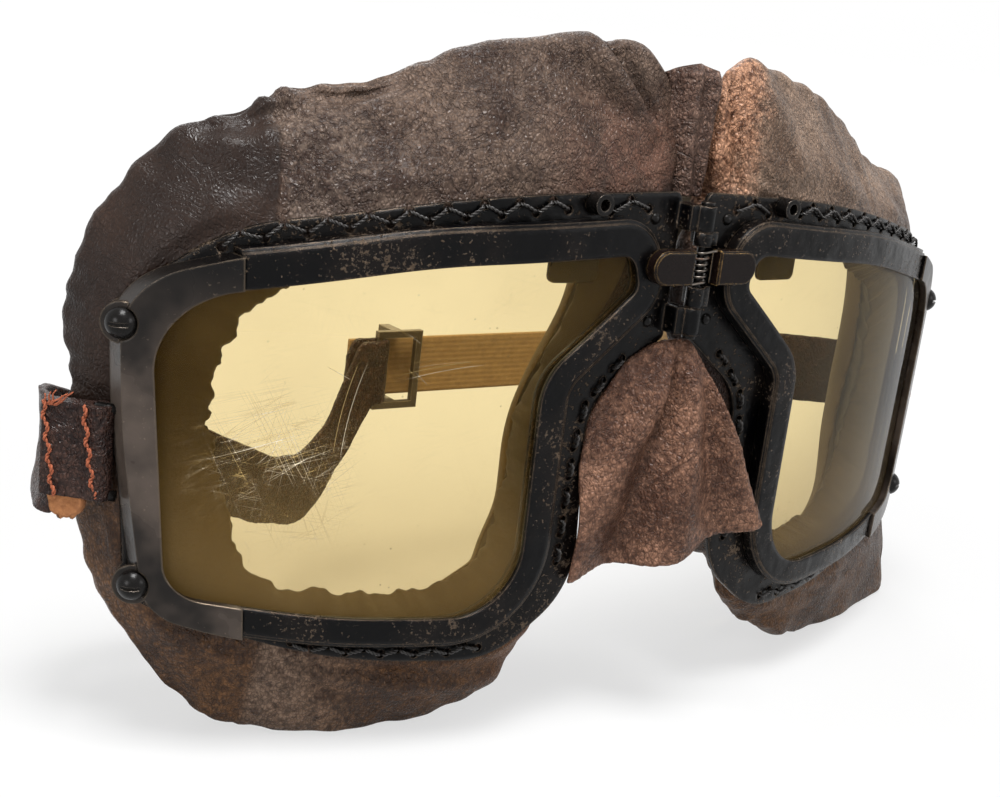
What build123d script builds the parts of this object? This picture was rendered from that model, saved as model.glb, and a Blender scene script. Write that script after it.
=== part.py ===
from build123d import *
import os
from math import asin, copysign, cos, hypot, pi, radians, sin, tan

# Aviator flying goggles: two amber eyepieces on a sprung hinge, with a leather face mask and a head strap.
# Millimetres. +Z is up, the front faces -Y, +X is to the right of someone who looks at the front.
# The model is laid out from the middle of the hinge tabs, and it is moved onto its foot at the end.

os.makedirs("parts", exist_ok=True)

# Face: flat across the nose, then curved round the head. Depths are measured behind its front.
face_front = 1.7
face_flat = 15.0
face_radius = 122.0
face_wrap_degrees = 50.0
overrun = 200.0
seat_gap = 0.05
soft_gap = 0.3

# Opening of one eyepiece, seen from the front: across, up, and the corner's radius against the height
opening_nose = 12.4
opening_width = 69.4
opening_bottom = -55.2
opening_height = 57.0
opening_shares = [
    (0.012, 0.998, 0.053), (0.484, 0.956, 2.10), (1.003, 0.825, 0.21), (0.951, 0.063, 0.105),
    (0.628, 0.014, 2.60), (0.210, -0.004, 0.193), (0.213, 0.670, 0.175), (-0.014, 0.905, 0.039),
]

# Lens
lens_thick = 2.0
lens_lap = 1.6

# Lens rim: a lip in front of the lens and a wall round its edge
lip_thick = 0.8
rim_width = 5.1
rim_raise = 0.5
rim_wall = 1.0
rim_step = 0.6
rim_step_depth = 0.45

# End clamp: it slides over the outer end of the rim
clamp_proud = 0.6
clamp_wall = 0.8
clamp_top_share = 0.852
clamp_bottom_share = 0.806
clamp_shares = [
    (0.60, 1.010, 0.02), (0.830, 0.958, 1.0), (1.055, 0.860, 0.19), (1.038, 0.477, 2.0),
    (0.985, 0.008, 0.12), (0.830, -0.042, 1.0), (0.60, -0.070, 0.02),
]

# Mask plate: the pressed plate behind the lens
plate_thick = 0.8
plate_window = 1.0
plate_shares = [
    (-0.141, 1.165, 0.026), (0.340, 1.140, 3.5), (0.852, 1.014, 0.44), (1.017, 0.828, 0.08),
    (1.024, 0.500, 1.0), (1.000, 0.020, 0.09), (0.628, -0.123, 1.75), (0.232, -0.153, 0.28),
    (0.026, 0.039, 0.245), (0.055, 0.574, 0.175), (-0.141, 0.758, 0.018),
]

# Clamp screws, in ears at the temple
screw_shares = [(1.046, 0.758), (1.004, 0.084)]
screw_radius = 1.0
screw_head_radius = 2.2
screw_head_edge = 0.5
screw_head_height = 1.9
screw_slot = 0.5
ear_radius = 3.0
head_clearance = 0.25

# Hinge
hinge_y = 1.6
barrel_radius = 1.5
barrel_top = 9.6
barrel_bottom = -11.0
knuckle_upper = 5.45
knuckle_lower = -6.55
spring_room = 3.2
knuckle_gap = 0.1
pin_radius = 0.6
pin_head_radius = 1.1
pin_head = 0.5
web_inner = 0.9
web_thick = 2.2

# Hinge spring
spring_wire = 0.4
spring_radius = 1.2
spring_pitch = 0.95
spring_turns = 5
spring_leg = 2.2

# Stop tabs, on the corners of the rims beside the hinge
tab_inner = 2.6
tab_reach = 10.7
tab_height = 5.5
tab_thick = 2.1
tab_bevel = 0.3
tab_post = 4.6
tab_post_radius = 1.0

# Plate rivets beside the hinge
rivet_shares = [(-0.069, 1.089), (-0.089, 0.804)]
rivet_radius = 0.5
rivet_head_radius = 0.95
rivet_head = 0.55

# Screen socket, a tube at the top of the nose corner
socket_x = 19.8
socket_z = 9.1
socket_radius = 1.65
socket_bore = 0.9
socket_reach = 2.35

# Lens clip
clip_inner = 17.0
clip_outer = 26.0
clip_drop = 3.3
clip_thick = 0.5
clip_round = 1.2
clip_seat = 2.6

# Lacing: stitches between two rows of holes
thread_radius = 0.28
hole_radius = 0.68
leg_spread = 0.36
lace_height = 0.2
top_lace_shares = [
    (0.175, 1.120), (0.383, 1.095), (0.542, 1.068), (0.695, 1.032), (0.800, 1.002), (0.873, 0.970),
]
bottom_lace_shares = [(0.686, -0.082), (0.499, -0.105), (0.354, -0.114), (0.268, -0.107)]
nose_lace_shares = [(0.085, 0.119), (0.079, 0.451), (0.062, 0.574), (-0.003, 0.672), (-0.055, 0.726)]
corner_lace_shares = [(-0.045, 1.128), (0.062, 1.118)]
top_stitches = 18
bottom_stitches = 11
nose_stitches = 8
top_rise = 0.8
bottom_rise = 0.45

# Strap bar at the temple
bar_stand = 4.3
bar_depth = 2.0
bar_radius = 0.8
bar_top = -21.0
bar_bottom = -41.5
bar_bend = 1.6

# Strap tab: leather folded round the bar and sewn, and the direction in which it stands out
tab_turn = 37.3
strap_tab_reach = 7.2
strap_tab_thick = 2.6
strap_tab_wall = 1.15
strap_tab_top = -24.5
strap_tab_bottom = -38.5

# Strap, seen from above: across as a share of the bar's place, back as a share of the way to its rear run
strap_thick = 1.2
strap_rear = 61.75
strap_lead = 2.3
strap_lead_bend = 2.6
left_strap_shares = [(1.028, 0.519, 0.092), (0.662, 0.619, 0.204), (0.325, 1.0, 0.173)]
right_strap_shares = [(1.035, 0.440, 0.102), (0.813, 0.775, 0.255), (0.522, 1.0, 0.357)]

# Outline of the left strap end from in front, as shares of the bar's place and height below the bar's top
left_end_shares = [
    (1.173, -0.16, 0.1), (1.020, -0.25, 0.1), (0.674, -0.78, 0.5), (0.500, -1.17, 0.3), (0.418, -1.22, 0.3),
    (0.343, -1.00, 0.3), (0.302, -0.59, 0.3), (0.273, -0.27, 0.1), (0.153, -0.27, 0.05), (0.153, -0.85, 0.05),
    (0.235, -0.86, 0.1), (0.285, -1.29, 0.3), (0.349, -1.69, 0.3), (0.412, -1.88, 0.3), (0.546, -1.71, 0.3),
    (0.620, -1.56, 0.5), (1.020, -1.02, 0.5), (1.173, -0.98, 0.1),
]
right_end_top = -26.0
right_end_bottom = -40.5
right_end_inner = 72.0

# Buckle on the left end, and the elastic that slides through it
buckle_x = 18.95
buckle_width = 8.35
buckle_top = -25.0
buckle_bottom = -40.0
buckle_bar = 1.3
buckle_thick = 1.2
bar_wrap_gap = 0.05
buckle_fold = 6.0
keeper_x = 15.2
keeper_width = 2.2
keeper_thick = 1.2
tooth_height = 0.4
tooth_count = 8
elastic_thick = 1.0
elastic_top = -27.0
elastic_bottom = -38.0
elastic_tail = 24.0
elastic_gap = 0.35

# Leather mask: rings about the eye. Each row is an angle, then shares: where the mask starts inside the
# plate, the plate's edge, the hem, the hem's depth, its roll, the inner edge and the inner edge's depth.
eye_along = 52.0
eye_height = -27.0
eye_half_width = 34.7
eye_half_height = 28.5
mask_depth = 12.0
mask_crown = 3.0
hem_bulge_share = 0.03
front_bulge = 0.6
foot_level = -76.9
mask_shares = [
    (231, 1.110, 1.370, 1.54, 0.67, 0.50, 1.08, 1.00), (246, 1.155, 1.370, 1.71, 0.62, 0.70, 1.04, 1.00),
    (262, 1.060, 1.280, 1.75, 0.67, 0.75, 1.00, 1.00), (278, 1.050, 1.215, 1.76, 0.67, 0.75, 0.98, 1.00),
    (293, 1.095, 1.215, 1.78, 0.67, 0.70, 1.00, 0.92), (308, 1.210, 1.285, 1.62, 0.58, 0.50, 0.91, 0.88),
    (329, 1.160, 1.230, 1.45, 0.58, 0.33, 0.75, 0.83), (0, 1.040, 1.095, 1.35, 0.62, 0.30, 0.72, 0.75),
    (24, 1.140, 1.190, 1.51, 0.67, 0.30, 0.76, 0.71), (48, 1.090, 1.215, 1.81, 0.83, 0.33, 0.83, 0.75),
    (69, 0.955, 1.155, 1.74, 0.96, 0.35, 0.82, 0.92), (90, 0.970, 1.175, 1.82, 1.17, 0.35, 0.91, 1.00),
    (108, 1.060, 1.315, 2.13, 1.08, 0.35, 1.03, 1.00), (124, 1.270, 1.560, 2.39, 0.75, 0.35, 1.21, 0.83),
    (137, 1.580, 1.780, 1.89, 0.75, 0.25, 1.37, 0.75), (154, 1.040, 1.460, 1.50, 0.75, 0.25, 1.01, 0.75),
    (170, 0.800, 1.160, 1.24, 0.83, 0.25, 0.80, 0.83), (192, 0.785, 1.060, 1.16, 0.86, 0.25, 0.79, 0.92),
    (213, 0.915, 1.250, 1.35, 0.86, 0.30, 0.92, 1.00),
]

# The cheek pad on the right is pulled out and to the front: its rows that differ
right_mask_shares = [
    (278, 1.050, 1.215, 1.80, 0.58, 0.70, 0.98, 1.00), (293, 1.095, 1.230, 1.93, 0.34, 0.60, 1.00, 0.92),
    (308, 1.210, 1.400, 1.93, 0.06, 0.52, 0.91, 0.88), (329, 1.160, 1.330, 1.55, 0.40, 0.40, 0.75, 0.83),
]

# Lining: a padded ring behind the leather
lining_gap = 0.55
lining_thick = 2.5
lining_margin_share = 0.14

# Nose flap: the front of the leather at five levels, in folds, as shares of its width and depth
flap_width = 16.0
flap_depth = 6.0
flap_thick = 1.2
flap_top = -12.3
flap_drop = 11.0
flap_shares = [
    (0.0, [(-0.16, 0.56), (-0.09, 0.48), (-0.04, 0.45), (0.03, 0.48), (0.09, 0.55)]),
    (0.7, [(-0.86, 0.74), (-0.53, 0.43), (-0.25, -0.03), (0.06, 0.02), (0.38, -0.13)]),
    (1.8, [(-1.06, 0.74), (-0.66, 0.25), (-0.25, -0.43), (0.25, -0.30), (0.75, -0.60)]),
    (2.9, [(-1.06, 0.74), (-0.66, 0.17), (-0.25, -0.47), (0.41, -0.38), (1.09, -0.90)]),
    (4.2, [(-1.06, 0.74), (-0.68, 0.13), (-0.28, -0.50), (0.50, -0.45), (1.34, -1.00)]),
]
flap_hem_left = -52.0
flap_hem_right = -43.0
flap_gap = 0.35

# Centre gusset: leather between the two masks above the hinge
gusset_front = 9.2
gusset_thick = 2.0
gusset_shares = [(-0.155, 0.43), (-0.155, 0.90), (-0.20, 1.03), (0.0, 1.05), (0.0, 0.43)]
gusset_height = 29.0

# What follows from those sizes
lens_front = lip_thick + seat_gap
lens_back = lens_front + lens_thick
rim_back = lens_back + seat_gap
plate_front = rim_back + seat_gap
plate_back = plate_front + plate_thick
mask_front = plate_back + soft_gap


def face_point(along, depth, height=0.0):
    """A point by its distance along the curved face from the middle, its depth behind it and its height."""
    turn = max(abs(along) - face_flat, 0) / face_radius
    radius = face_radius - depth
    across = min(abs(along), face_flat) + radius * sin(turn)
    return Vector(copysign(across, along), face_front + face_radius - radius * cos(turn), height)


def face_plane(along, depth, height):
    """A plane that lies on the curved face there, with its normal to the front."""
    turn = max(along - face_flat, 0) / face_radius
    out = (sin(turn), -cos(turn), 0)
    return Plane(face_point(along, depth, height), x_dir=(cos(turn), sin(turn), 0), z_dir=out)


def along_at(across, depth=0):
    """How far along the curved face a place seen from the front lies, at a depth."""
    past = max(across - face_flat, 0)
    return min(across, face_flat) + face_radius * asin(past / (face_radius - depth))


def place(shares):
    """A place seen from the front, from its shares of the opening."""
    return opening_nose + shares[0] * opening_width, opening_bottom + shares[1] * opening_height


def rounded(points, radii):
    """A flat face with an arc at each of its points."""
    corners = []
    for here, point in enumerate(points):
        corner = Vector(*point)
        back = (Vector(*points[here - 1]) - corner).normalized()
        on = (Vector(*points[(here + 1) % len(points)]) - corner).normalized()
        half = radians(back.get_angle(on)) / 2
        middle = corner + (back + on).normalized() * (radii[here] / sin(half) - radii[here])
        run = radii[here] / tan(half)
        corners.append((corner + back * run, middle, corner + on * run))
    edges = []
    for here, (start, middle, end) in enumerate(corners):
        edges.append(Edge.make_line(corners[here - 1][2], start))
        edges.append(Edge.make_three_point_arc(start, middle, end))
    return Face(Wire(edges))


def outline(shares):
    """A rounded face whose corners are shares of the opening."""
    return rounded([place(share) for share in shares], [share[2] * opening_height for share in shares])


def grown(face, amount):
    """The same outline, moved outward."""
    return offset(face, amount=amount, kind=Kind.ARC)


def through(face):
    """A prism from front to back through an outline seen from the front."""
    return extrude(Plane.XZ * face, amount=overrun, both=True)


def sheet(front, back):
    """All of the right half that lies between two depths behind the curved face."""
    reach = face_flat + face_radius * radians(face_wrap_degrees)
    places = (0, face_flat, (face_flat + reach) / 2, reach)
    there = [face_point(along, front) for along in places]
    behind = [face_point(along, back) for along in places]
    edges = [
        Edge.make_line(*there[:2]), Edge.make_three_point_arc(*there[1:]), Edge.make_line(there[-1], behind[-1]),
        Edge.make_three_point_arc(*behind[:0:-1]), Edge.make_line(behind[1], behind[0]),
        Edge.make_line(behind[0], there[0]),
    ]
    return extrude(Face(Wire(edges)), amount=overrun, both=True)


def disc(radius, x, z):
    """A round face seen from the front."""
    return Pos(x, z) * Circle(radius)


def slab(x_low, x_high, y_low, y_high, z_low, z_high):
    """A block between six places."""
    size = Box(x_high - x_low, y_high - y_low, z_high - z_low)
    return Pos((x_low + x_high) / 2, (y_low + y_high) / 2, (z_low + z_high) / 2) * size


opening = outline(opening_shares)
rim_outline = Pos(0, rim_raise) * grown(opening, rim_width)
rim_crest = Pos(0, rim_raise) * grown(opening, rim_width - rim_step)
clamp_outline = outline(clamp_shares)
plate_outline = outline(plate_shares)


def clamp_end(gap):
    """The outer end of the eyepiece, which the clamp takes, grown inward by a gap."""
    top_x = opening_nose + clamp_top_share * opening_width - gap
    bottom_x = opening_nose + clamp_bottom_share * opening_width - gap
    low = opening_bottom - opening_height
    high = opening_bottom + 2 * opening_height
    lean = (top_x - bottom_x) / opening_height
    corners = [
        (top_x + lean * opening_height, high), (top_x + overrun, high),
        (top_x + overrun, low), (bottom_x - lean * opening_height, low),
    ]
    return through(make_face(Polyline(corners, close=True)))


def screw_plane(shares):
    """The plane on the face in which a clamp screw stands."""
    x, z = place(shares)
    return face_plane(along_at(x), 0, z)


def drill(plane, radius, front=overrun, back=overrun):
    """A cylinder on a plane's axis, from a distance in front of it to a distance behind it."""
    return plane * (Pos(0, 0, (front - back) / 2) * Cylinder(radius, front + back))


def make_lens():
    return sheet(lens_front, lens_back) & through(grown(opening, lens_lap))


def make_rim():
    body = sheet(rim_step_depth, rim_back) & through(rim_outline)
    body += sheet(0, lip_thick) & through(rim_crest)
    body -= sheet(lip_thick, rim_back + rim_wall) & through(grown(rim_outline, -rim_wall))
    return body - through(opening) - clamp_end(seat_gap)


def make_clamp():
    body = sheet(-clamp_proud, rim_back) & through(clamp_outline)
    body -= sheet(lip_thick, rim_back + clamp_wall) & through(grown(clamp_outline, -clamp_wall))
    for shares in screw_shares:
        plane = screw_plane(shares)
        body -= drill(plane, screw_head_radius + head_clearance, back=ear_radius) & sheet(-ear_radius, 0)
        body += drill(plane, ear_radius, front=ear_radius, back=ear_radius) & sheet(0, lip_thick)
        body -= drill(plane, screw_radius + seat_gap, back=2 * plate_back)
    return (body & clamp_end(0)) - through(opening)


def make_screw(shares):
    """A domed and slotted head on a plain shank."""
    ball = (screw_head_radius**2 + (screw_head_height - screw_head_edge) ** 2) / (
        2 * (screw_head_height - screw_head_edge)
    )
    head = Cylinder(screw_head_radius, screw_head_height, align=(Align.CENTER, Align.CENTER, Align.MIN))
    head &= Pos(0, 0, screw_head_height - ball) * Sphere(ball)
    head -= Pos(0, 0, screw_head_height) * Box(3 * screw_head_radius, screw_slot, 2 * screw_slot)
    shank = plate_back + seat_gap
    body = head + Pos(0, 0, -shank / 2) * Cylinder(screw_radius, shank)
    return screw_plane(shares) * (Pos(0, 0, seat_gap) * body)


def knuckle(low, high):
    """One knuckle of the right half, with the web that joins it to the plate."""
    height = high - low - knuckle_gap
    middle = (low + high) / 2
    tube = Pos(0, hinge_y, middle) * Cylinder(barrel_radius, height)
    web = slab(
        web_inner, web_inner + web_thick, hinge_y, face_front + plate_back, middle - height / 2, middle + height / 2
    )
    return tube + web


def lace_line(shares, count, rise):
    """The two ends of each stitch of a zigzag along a row: distance along the face and height."""
    path = Wire(Polyline([place(share) for share in shares]).edges())
    ends = []
    for here in range(count + 1):
        point = path @ (here / count)
        heading = path % (here / count)
        side = rise if here % 2 else -rise
        ends.append((point.X - side * heading.Y, point.Y + side * heading.X))
    return list(zip(ends, ends[1:]))


def lace_rows():
    """Every stitch of one eyepiece."""
    rows = lace_line(corner_lace_shares, 2, top_rise)
    rows += lace_line(top_lace_shares, top_stitches, top_rise)
    rows += lace_line(bottom_lace_shares, bottom_stitches, bottom_rise)
    rows += lace_line(nose_lace_shares, 2 * nose_stitches, 0)[::2]
    return rows


def make_stitch(start, end):
    """A thread over the front of the plate, with its ends turned back through two holes."""
    first = Vector(along_at(start[0], plate_front), start[1])
    last = Vector(along_at(end[0], plate_front), end[1])
    step = (last - first).normalized() * leg_spread
    first, last = first + step, last - step
    top = plate_front - lace_height - thread_radius
    points = [
        face_point(first.X, plate_back, first.Y), face_point(first.X, top, first.Y),
        face_point(last.X, top, last.Y), face_point(last.X, plate_back, last.Y),
    ]
    path = FilletPolyline(points, radius=thread_radius + lace_height)
    section = Plane(path @ 0, z_dir=path % 0) * Circle(thread_radius)
    return sweep(section, path=path)


def make_plate(knuckles):
    """The plate of the right half, with its knuckles, window and holes."""
    body = sheet(plate_front, plate_back) & through(plate_outline)
    for shares in screw_shares:
        body += drill(screw_plane(shares), ear_radius) & sheet(plate_front, plate_back)
    body -= through(grown(opening, plate_window))
    for low, high in knuckles:
        body += knuckle(low, high)
    cuts = [Pos(0, hinge_y, 0) * Cylinder(pin_radius + seat_gap, overrun)]
    cuts += [drill(screw_plane(shares), screw_radius + seat_gap) for shares in screw_shares]
    cuts += [through(disc(rivet_radius + seat_gap, *place(shares))) for shares in rivet_shares]
    cuts.append(through(disc(tab_post_radius + seat_gap, tab_post, 0)))
    cuts.append(through(disc(socket_radius + seat_gap, socket_x, socket_z)))
    holes = {(round(x, 3), round(z, 3)) for stitch in lace_rows() for x, z in stitch}
    for x, z in sorted(holes):
        plane = face_plane(along_at(x, plate_front), plate_front, z)
        cuts.append(drill(plane, hole_radius, front=plate_thick, back=2 * plate_thick))
    return body - cuts


def make_pin():
    """The hinge pin, with a peened head at each end."""
    low, high = barrel_bottom - seat_gap, barrel_top + seat_gap
    shank = Pos(0, 0, (low + high) / 2) * Cylinder(pin_radius, high - low + pin_head)
    heads = [Pos(0, 0, high + pin_head / 2), Pos(0, 0, low - pin_head / 2)]
    return Pos(0, hinge_y, 0) * (shank + [head * Cylinder(pin_head_radius, pin_head) for head in heads])


def biarc(start, heading, end, leaving):
    """Two arcs that join two points in the given directions."""
    chord = end - start
    ease = 2 * (1 - heading.dot(leaving))
    along = 2 * chord.dot(heading + leaving)
    reach = (-along + (along**2 + 4 * ease * chord.dot(chord)) ** 0.5) / (2 * ease)
    first, last = start + heading * reach, end - leaving * reach
    joint = (first + last) / 2
    return [TangentArc(start, joint, tangent=heading).edge(), TangentArc(joint, end, tangent=last - first).edge()]


def make_spring():
    """The torsion spring round the pin: close turns, with a straight leg to each side in front."""
    rise = spring_pitch / (2 * pi)
    slant = hypot(spring_radius, rise)
    low = -spring_turns * spring_pitch / 2

    def coil(turn):
        angle = 2 * pi * turn - pi / 2
        point = Vector(spring_radius * cos(angle), spring_radius * sin(angle), low + spring_pitch * turn)
        heading = Vector(-spring_radius * sin(angle), spring_radius * cos(angle), rise) / slant
        return point, heading

    quarters = [coil(quarter / 4) for quarter in range(4 * spring_turns + 1)]
    (start, first), (end, last) = quarters[0], quarters[-1]
    edges = [Edge.make_line(start - first * spring_leg, start)]
    for (here, heading), (there, leaving) in zip(quarters, quarters[1:]):
        edges += biarc(here, heading, there, leaving)
    edges.append(Edge.make_line(end, end + last * spring_leg))
    path = Wire(edges)
    count = 60 * spring_turns
    points = [path @ (here / count) for here in range(count + 1)]
    apart = pi * spring_radius
    spacing = path.length / count
    gap = min(
        (points[a] - points[b]).length - spring_wire
        for a in range(count + 1) for b in range(a + 1, count + 1) if (b - a) * spacing > apart
    )
    print("spring least self gap", round(gap, 2), "length", round(path.length, 1))
    section = Plane(path @ 0, z_dir=path % 0) * Circle(spring_wire / 2)
    return Pos(0, hinge_y, 0) * sweep(section, path=path)


def make_stop_tab():
    """The D shaped tongue, with the post that fixes it to the plate."""
    half = tab_height / 2
    face = make_face(Polyline(
        (tab_inner, -half), (tab_reach - half, -half), (tab_reach - half, half), (tab_inner, half), close=True
    )) + Pos(tab_reach - half, 0) * Circle(half)
    tongue = extrude(Plane.XZ * face, amount=tab_thick)
    tongue = chamfer(tongue.faces().sort_by(Axis.Y)[0].edges(), tab_bevel)
    back = face_front - seat_gap
    post = plate_back + seat_gap
    post = Plane.XZ * Pos(tab_post, 0, -post / 2) * Cylinder(tab_post_radius, post)
    return Pos(0, back, 0) * (tongue + post)


def make_rivet(x, z):
    """A domed rivet through the plate."""
    front = face_front + plate_front - seat_gap
    ball = (rivet_head_radius**2 + rivet_head**2) / (2 * rivet_head)
    head = Pos(0, 0, rivet_head - ball) * Sphere(ball)
    head &= Cylinder(rivet_head_radius, rivet_head, align=(Align.CENTER, Align.CENTER, Align.MIN))
    shank = plate_thick + 2 * seat_gap
    body = head + Pos(0, 0, -shank / 2) * Cylinder(rivet_radius, shank)
    return Pos(x, front, z) * (Plane.XZ * body)


def make_socket():
    """The tube that takes the stem of an accessory."""
    length = face_front + plate_back - socket_reach
    tube = Cylinder(socket_radius, length) - Cylinder(socket_bore, 2 * length)
    return Pos(socket_x, socket_reach + length / 2, socket_z) * (Plane.XZ * tube)


def make_clip():
    """A spring tongue behind the plate that reaches down behind the lens."""
    half_x, half_z = (clip_outer - clip_inner) / 2, (clip_seat + clip_drop) / 2
    middle = Pos((clip_outer + clip_inner) / 2, (clip_seat - clip_drop) / 2)
    face = middle * RectangleRounded(2 * half_x, 2 * half_z, clip_round)
    return sheet(plate_back + seat_gap, plate_back + seat_gap + clip_thick) & through(face)


clamp_side = along_at(place(clamp_shares[3])[0])
bar_along = clamp_side + bar_stand


def make_strap_bar():
    """A bent wire at the temple for the strap, cut off against the clamp."""
    start = clamp_side - bar_stand
    high, low = bar_top - bar_radius, bar_bottom + bar_radius
    points = [
        face_point(start, bar_depth, high), face_point(bar_along, bar_depth, high),
        face_point(bar_along, bar_depth, low), face_point(start, bar_depth, low),
    ]
    path = FilletPolyline(points, radius=bar_bend)
    wire = sweep(Plane(path @ 0, z_dir=path % 0) * Circle(bar_radius), path=path)
    return wire - through(grown(clamp_outline, seat_gap))


def ring_point(angle, reach, depth):
    """A point of the mask, by its angle round the eye, its reach as a share of the eye, and its depth."""
    turn = radians(angle)
    along = eye_along + reach * eye_half_width * cos(turn)
    return face_point(along, depth, eye_height + reach * eye_half_height * sin(turn))


def ring_arc(angle, start, middle, end):
    """An arc through three places of one section of the mask."""
    return Edge.make_three_point_arc(*(ring_point(angle, *spot) for spot in (start, middle, end)))


def between(start, end, share, swell=0.0):
    """A place part of the way between two others, pushed back where the padding swells."""
    reach = start[0] + (end[0] - start[0]) * share
    return reach, start[1] + (end[1] - start[1]) * share + 4 * swell * share * (1 - share)


def mask_back(row):
    """The hem's back and the inner edge of one section, between which the padding swells."""
    hem, depth, roll, inner, inner_depth = row[3:]
    return (hem, (depth + roll) * mask_depth), (inner, inner_depth * mask_depth)


def mask_section(row):
    """One section of the leather: plate, front, rolled hem, padded back and inner wall."""
    angle, inside, edge, hem, depth = row[:5]
    start, rim_spot, front = (inside, mask_front), (edge, mask_front), (hem, depth * mask_depth)
    back, inner = mask_back(row)
    rise = between(rim_spot, front, 0.5)
    roll = between(front, back, 0.5)
    return Wire([
        Edge.make_line(ring_point(angle, *start), ring_point(angle, *rim_spot)),
        ring_arc(angle, rim_spot, (rise[0], rise[1] - front_bulge), front),
        ring_arc(angle, front, (roll[0] + hem_bulge_share, roll[1]), back),
        ring_arc(angle, back, between(back, inner, 0.5, mask_crown), inner),
        Edge.make_line(ring_point(angle, *inner), ring_point(angle, *start)),
    ])


def lining_section(row):
    """One section of the lining: it follows the back of the leather and swells towards the face."""
    back, inner = mask_back(row)
    spots = []
    for share in (lining_margin_share, 0.5, 1 - lining_margin_share):
        reach, depth = between(back, inner, share, mask_crown)
        spots.append((reach, depth + lining_gap))
    first, middle, last = spots
    return Wire([
        ring_arc(row[0], first, middle, last),
        ring_arc(row[0], last, (middle[0], middle[1] + lining_thick), first),
    ])


def ring(section, changes=()):
    """A closed ring through the sections of the mask, with some rows changed."""
    changed = {row[0]: row for row in changes}
    wires = [section(changed.get(row[0], row)) for row in mask_shares]
    body = Solid.make_loft(wires + wires[:1])
    return body - slab(-overrun, overrun, -overrun, overrun, -overrun, foot_level)


def make_flap():
    """The leather that hangs over the nose, trimmed beside the left plate and along its slanted hem."""
    wires = []
    for level, spots in flap_shares:
        front = [Vector(a * flap_width, b * flap_depth, flap_top - level * flap_drop) for a, b in spots]
        back = [spot + Vector(0, flap_thick, 0) for spot in front]
        wires.append(Wire([
            Edge.make_three_point_arc(*front[:3]), Edge.make_three_point_arc(*front[2:]),
            Edge.make_line(front[-1], back[-1]), Edge.make_three_point_arc(*back[:1:-1]),
            Edge.make_three_point_arc(*back[2::-1]), Edge.make_line(back[0], front[0]),
        ]))
    body = Solid.make_loft(wires)
    beside = sheet(plate_front - flap_gap, plate_back + flap_gap) & through(grown(plate_outline, flap_gap))
    middle = (flap_hem_left + flap_hem_right) / 2
    rise = flap_hem_right - flap_hem_left
    below = make_face(Polyline(
        (-2 * flap_width, middle - rise), (2 * flap_width, middle + rise),
        (2 * flap_width, -overrun), (-2 * flap_width, -overrun), close=True,
    ))
    return body - mirror(beside, about=Plane.YZ) - through(below)


def make_gusset():
    """A strip of leather between the masks."""
    face = make_face(Polyline([(a * flap_width, b * gusset_height) for a, b in gusset_shares], close=True))
    return Pos(0, gusset_front, 0) * extrude(Plane.XZ * face, amount=-gusset_thick)


bar_place = face_point(bar_along, bar_depth)
strap_out = Vector(cos(radians(tab_turn)), sin(radians(tab_turn)))
strap_start = bar_place + strap_out * (strap_tab_reach + seat_gap)


def make_strap_tab():
    """Leather folded round the strap bar, with its two layers sewn together."""
    half = strap_tab_thick / 2
    ring_radius = bar_radius + bar_wrap_gap + strap_tab_wall
    fold = Pos(strap_tab_reach / 2, 0) * Rectangle(strap_tab_reach, strap_tab_thick)
    face = Circle(ring_radius) + fold - Circle(bar_radius + bar_wrap_gap)
    body = extrude(face, amount=strap_tab_top - strap_tab_bottom)
    return Pos(bar_place.X, bar_place.Y, strap_tab_bottom) * Rot(0, 0, tab_turn) * body


def strap_line(shares, rear, end):
    """A strap's path seen from above: out of its tab, round the head and on to a place at the rear."""
    first, lead = strap_start, strap_start + strap_out * strap_lead
    points = [(first.X, first.Y), (lead.X, lead.Y)]
    points += [(across * bar_place.X, bar_place.Y + back * (rear - bar_place.Y)) for across, back, bend in shares]
    bends = [strap_lead_bend] + [bend * bar_place.X for across, back, bend in shares]
    return FilletPolyline(points + [(end, rear)], radius=bends)


def band(path, thick):
    """A tall band of the given thickness along a path seen from above."""
    section = Plane(path @ 0, x_dir=(0, 0, 1), z_dir=path % 0) * Rectangle(2 * overrun, thick)
    return sweep(section, path=path)


def make_left_end():
    """The long leather end with its loop round the buckle's bar, laid out on the right."""
    wrap = buckle_bar / 2 + bar_wrap_gap + strap_thick / 2
    line = strap_line(left_strap_shares, strap_rear, buckle_x)
    back = strap_rear + 2 * wrap
    loop = ThreePointArc((buckle_x, strap_rear), (buckle_x - wrap, strap_rear + wrap), (buckle_x, back))
    tail = Line((buckle_x, back), (buckle_x + buckle_fold, back))
    path = Wire(line.edges() + loop.edges() + tail.edges())
    height = bar_top - bar_bottom
    corners = [(across * bar_place.X, bar_top + up * height) for across, up, bend in left_end_shares]
    return band(path, strap_thick) & through(rounded(corners, [share[2] * height for share in left_end_shares]))


def right_run():
    """The path of the right end and the elastic."""
    return strap_line(right_strap_shares, elastic_rear, -elastic_tail)


def make_right_end():
    """The short leather end that the elastic is sewn to."""
    part = slab(right_end_inner, overrun, 0, overrun, right_end_bottom, right_end_top)
    return band(right_run(), strap_thick) & part


def make_elastic():
    """The elastic band, from the right end to its tail past the buckle."""
    part = slab(-overrun, right_end_inner - seat_gap, 0, overrun, elastic_bottom, elastic_top)
    return band(right_run(), elastic_thick) & part


buckle_y = strap_rear + buckle_bar / 2 + bar_wrap_gap + strap_thick / 2
elastic_front = buckle_y + buckle_bar / 2 + bar_wrap_gap + strap_thick + elastic_gap
elastic_rear = elastic_front + elastic_thick / 2


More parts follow.
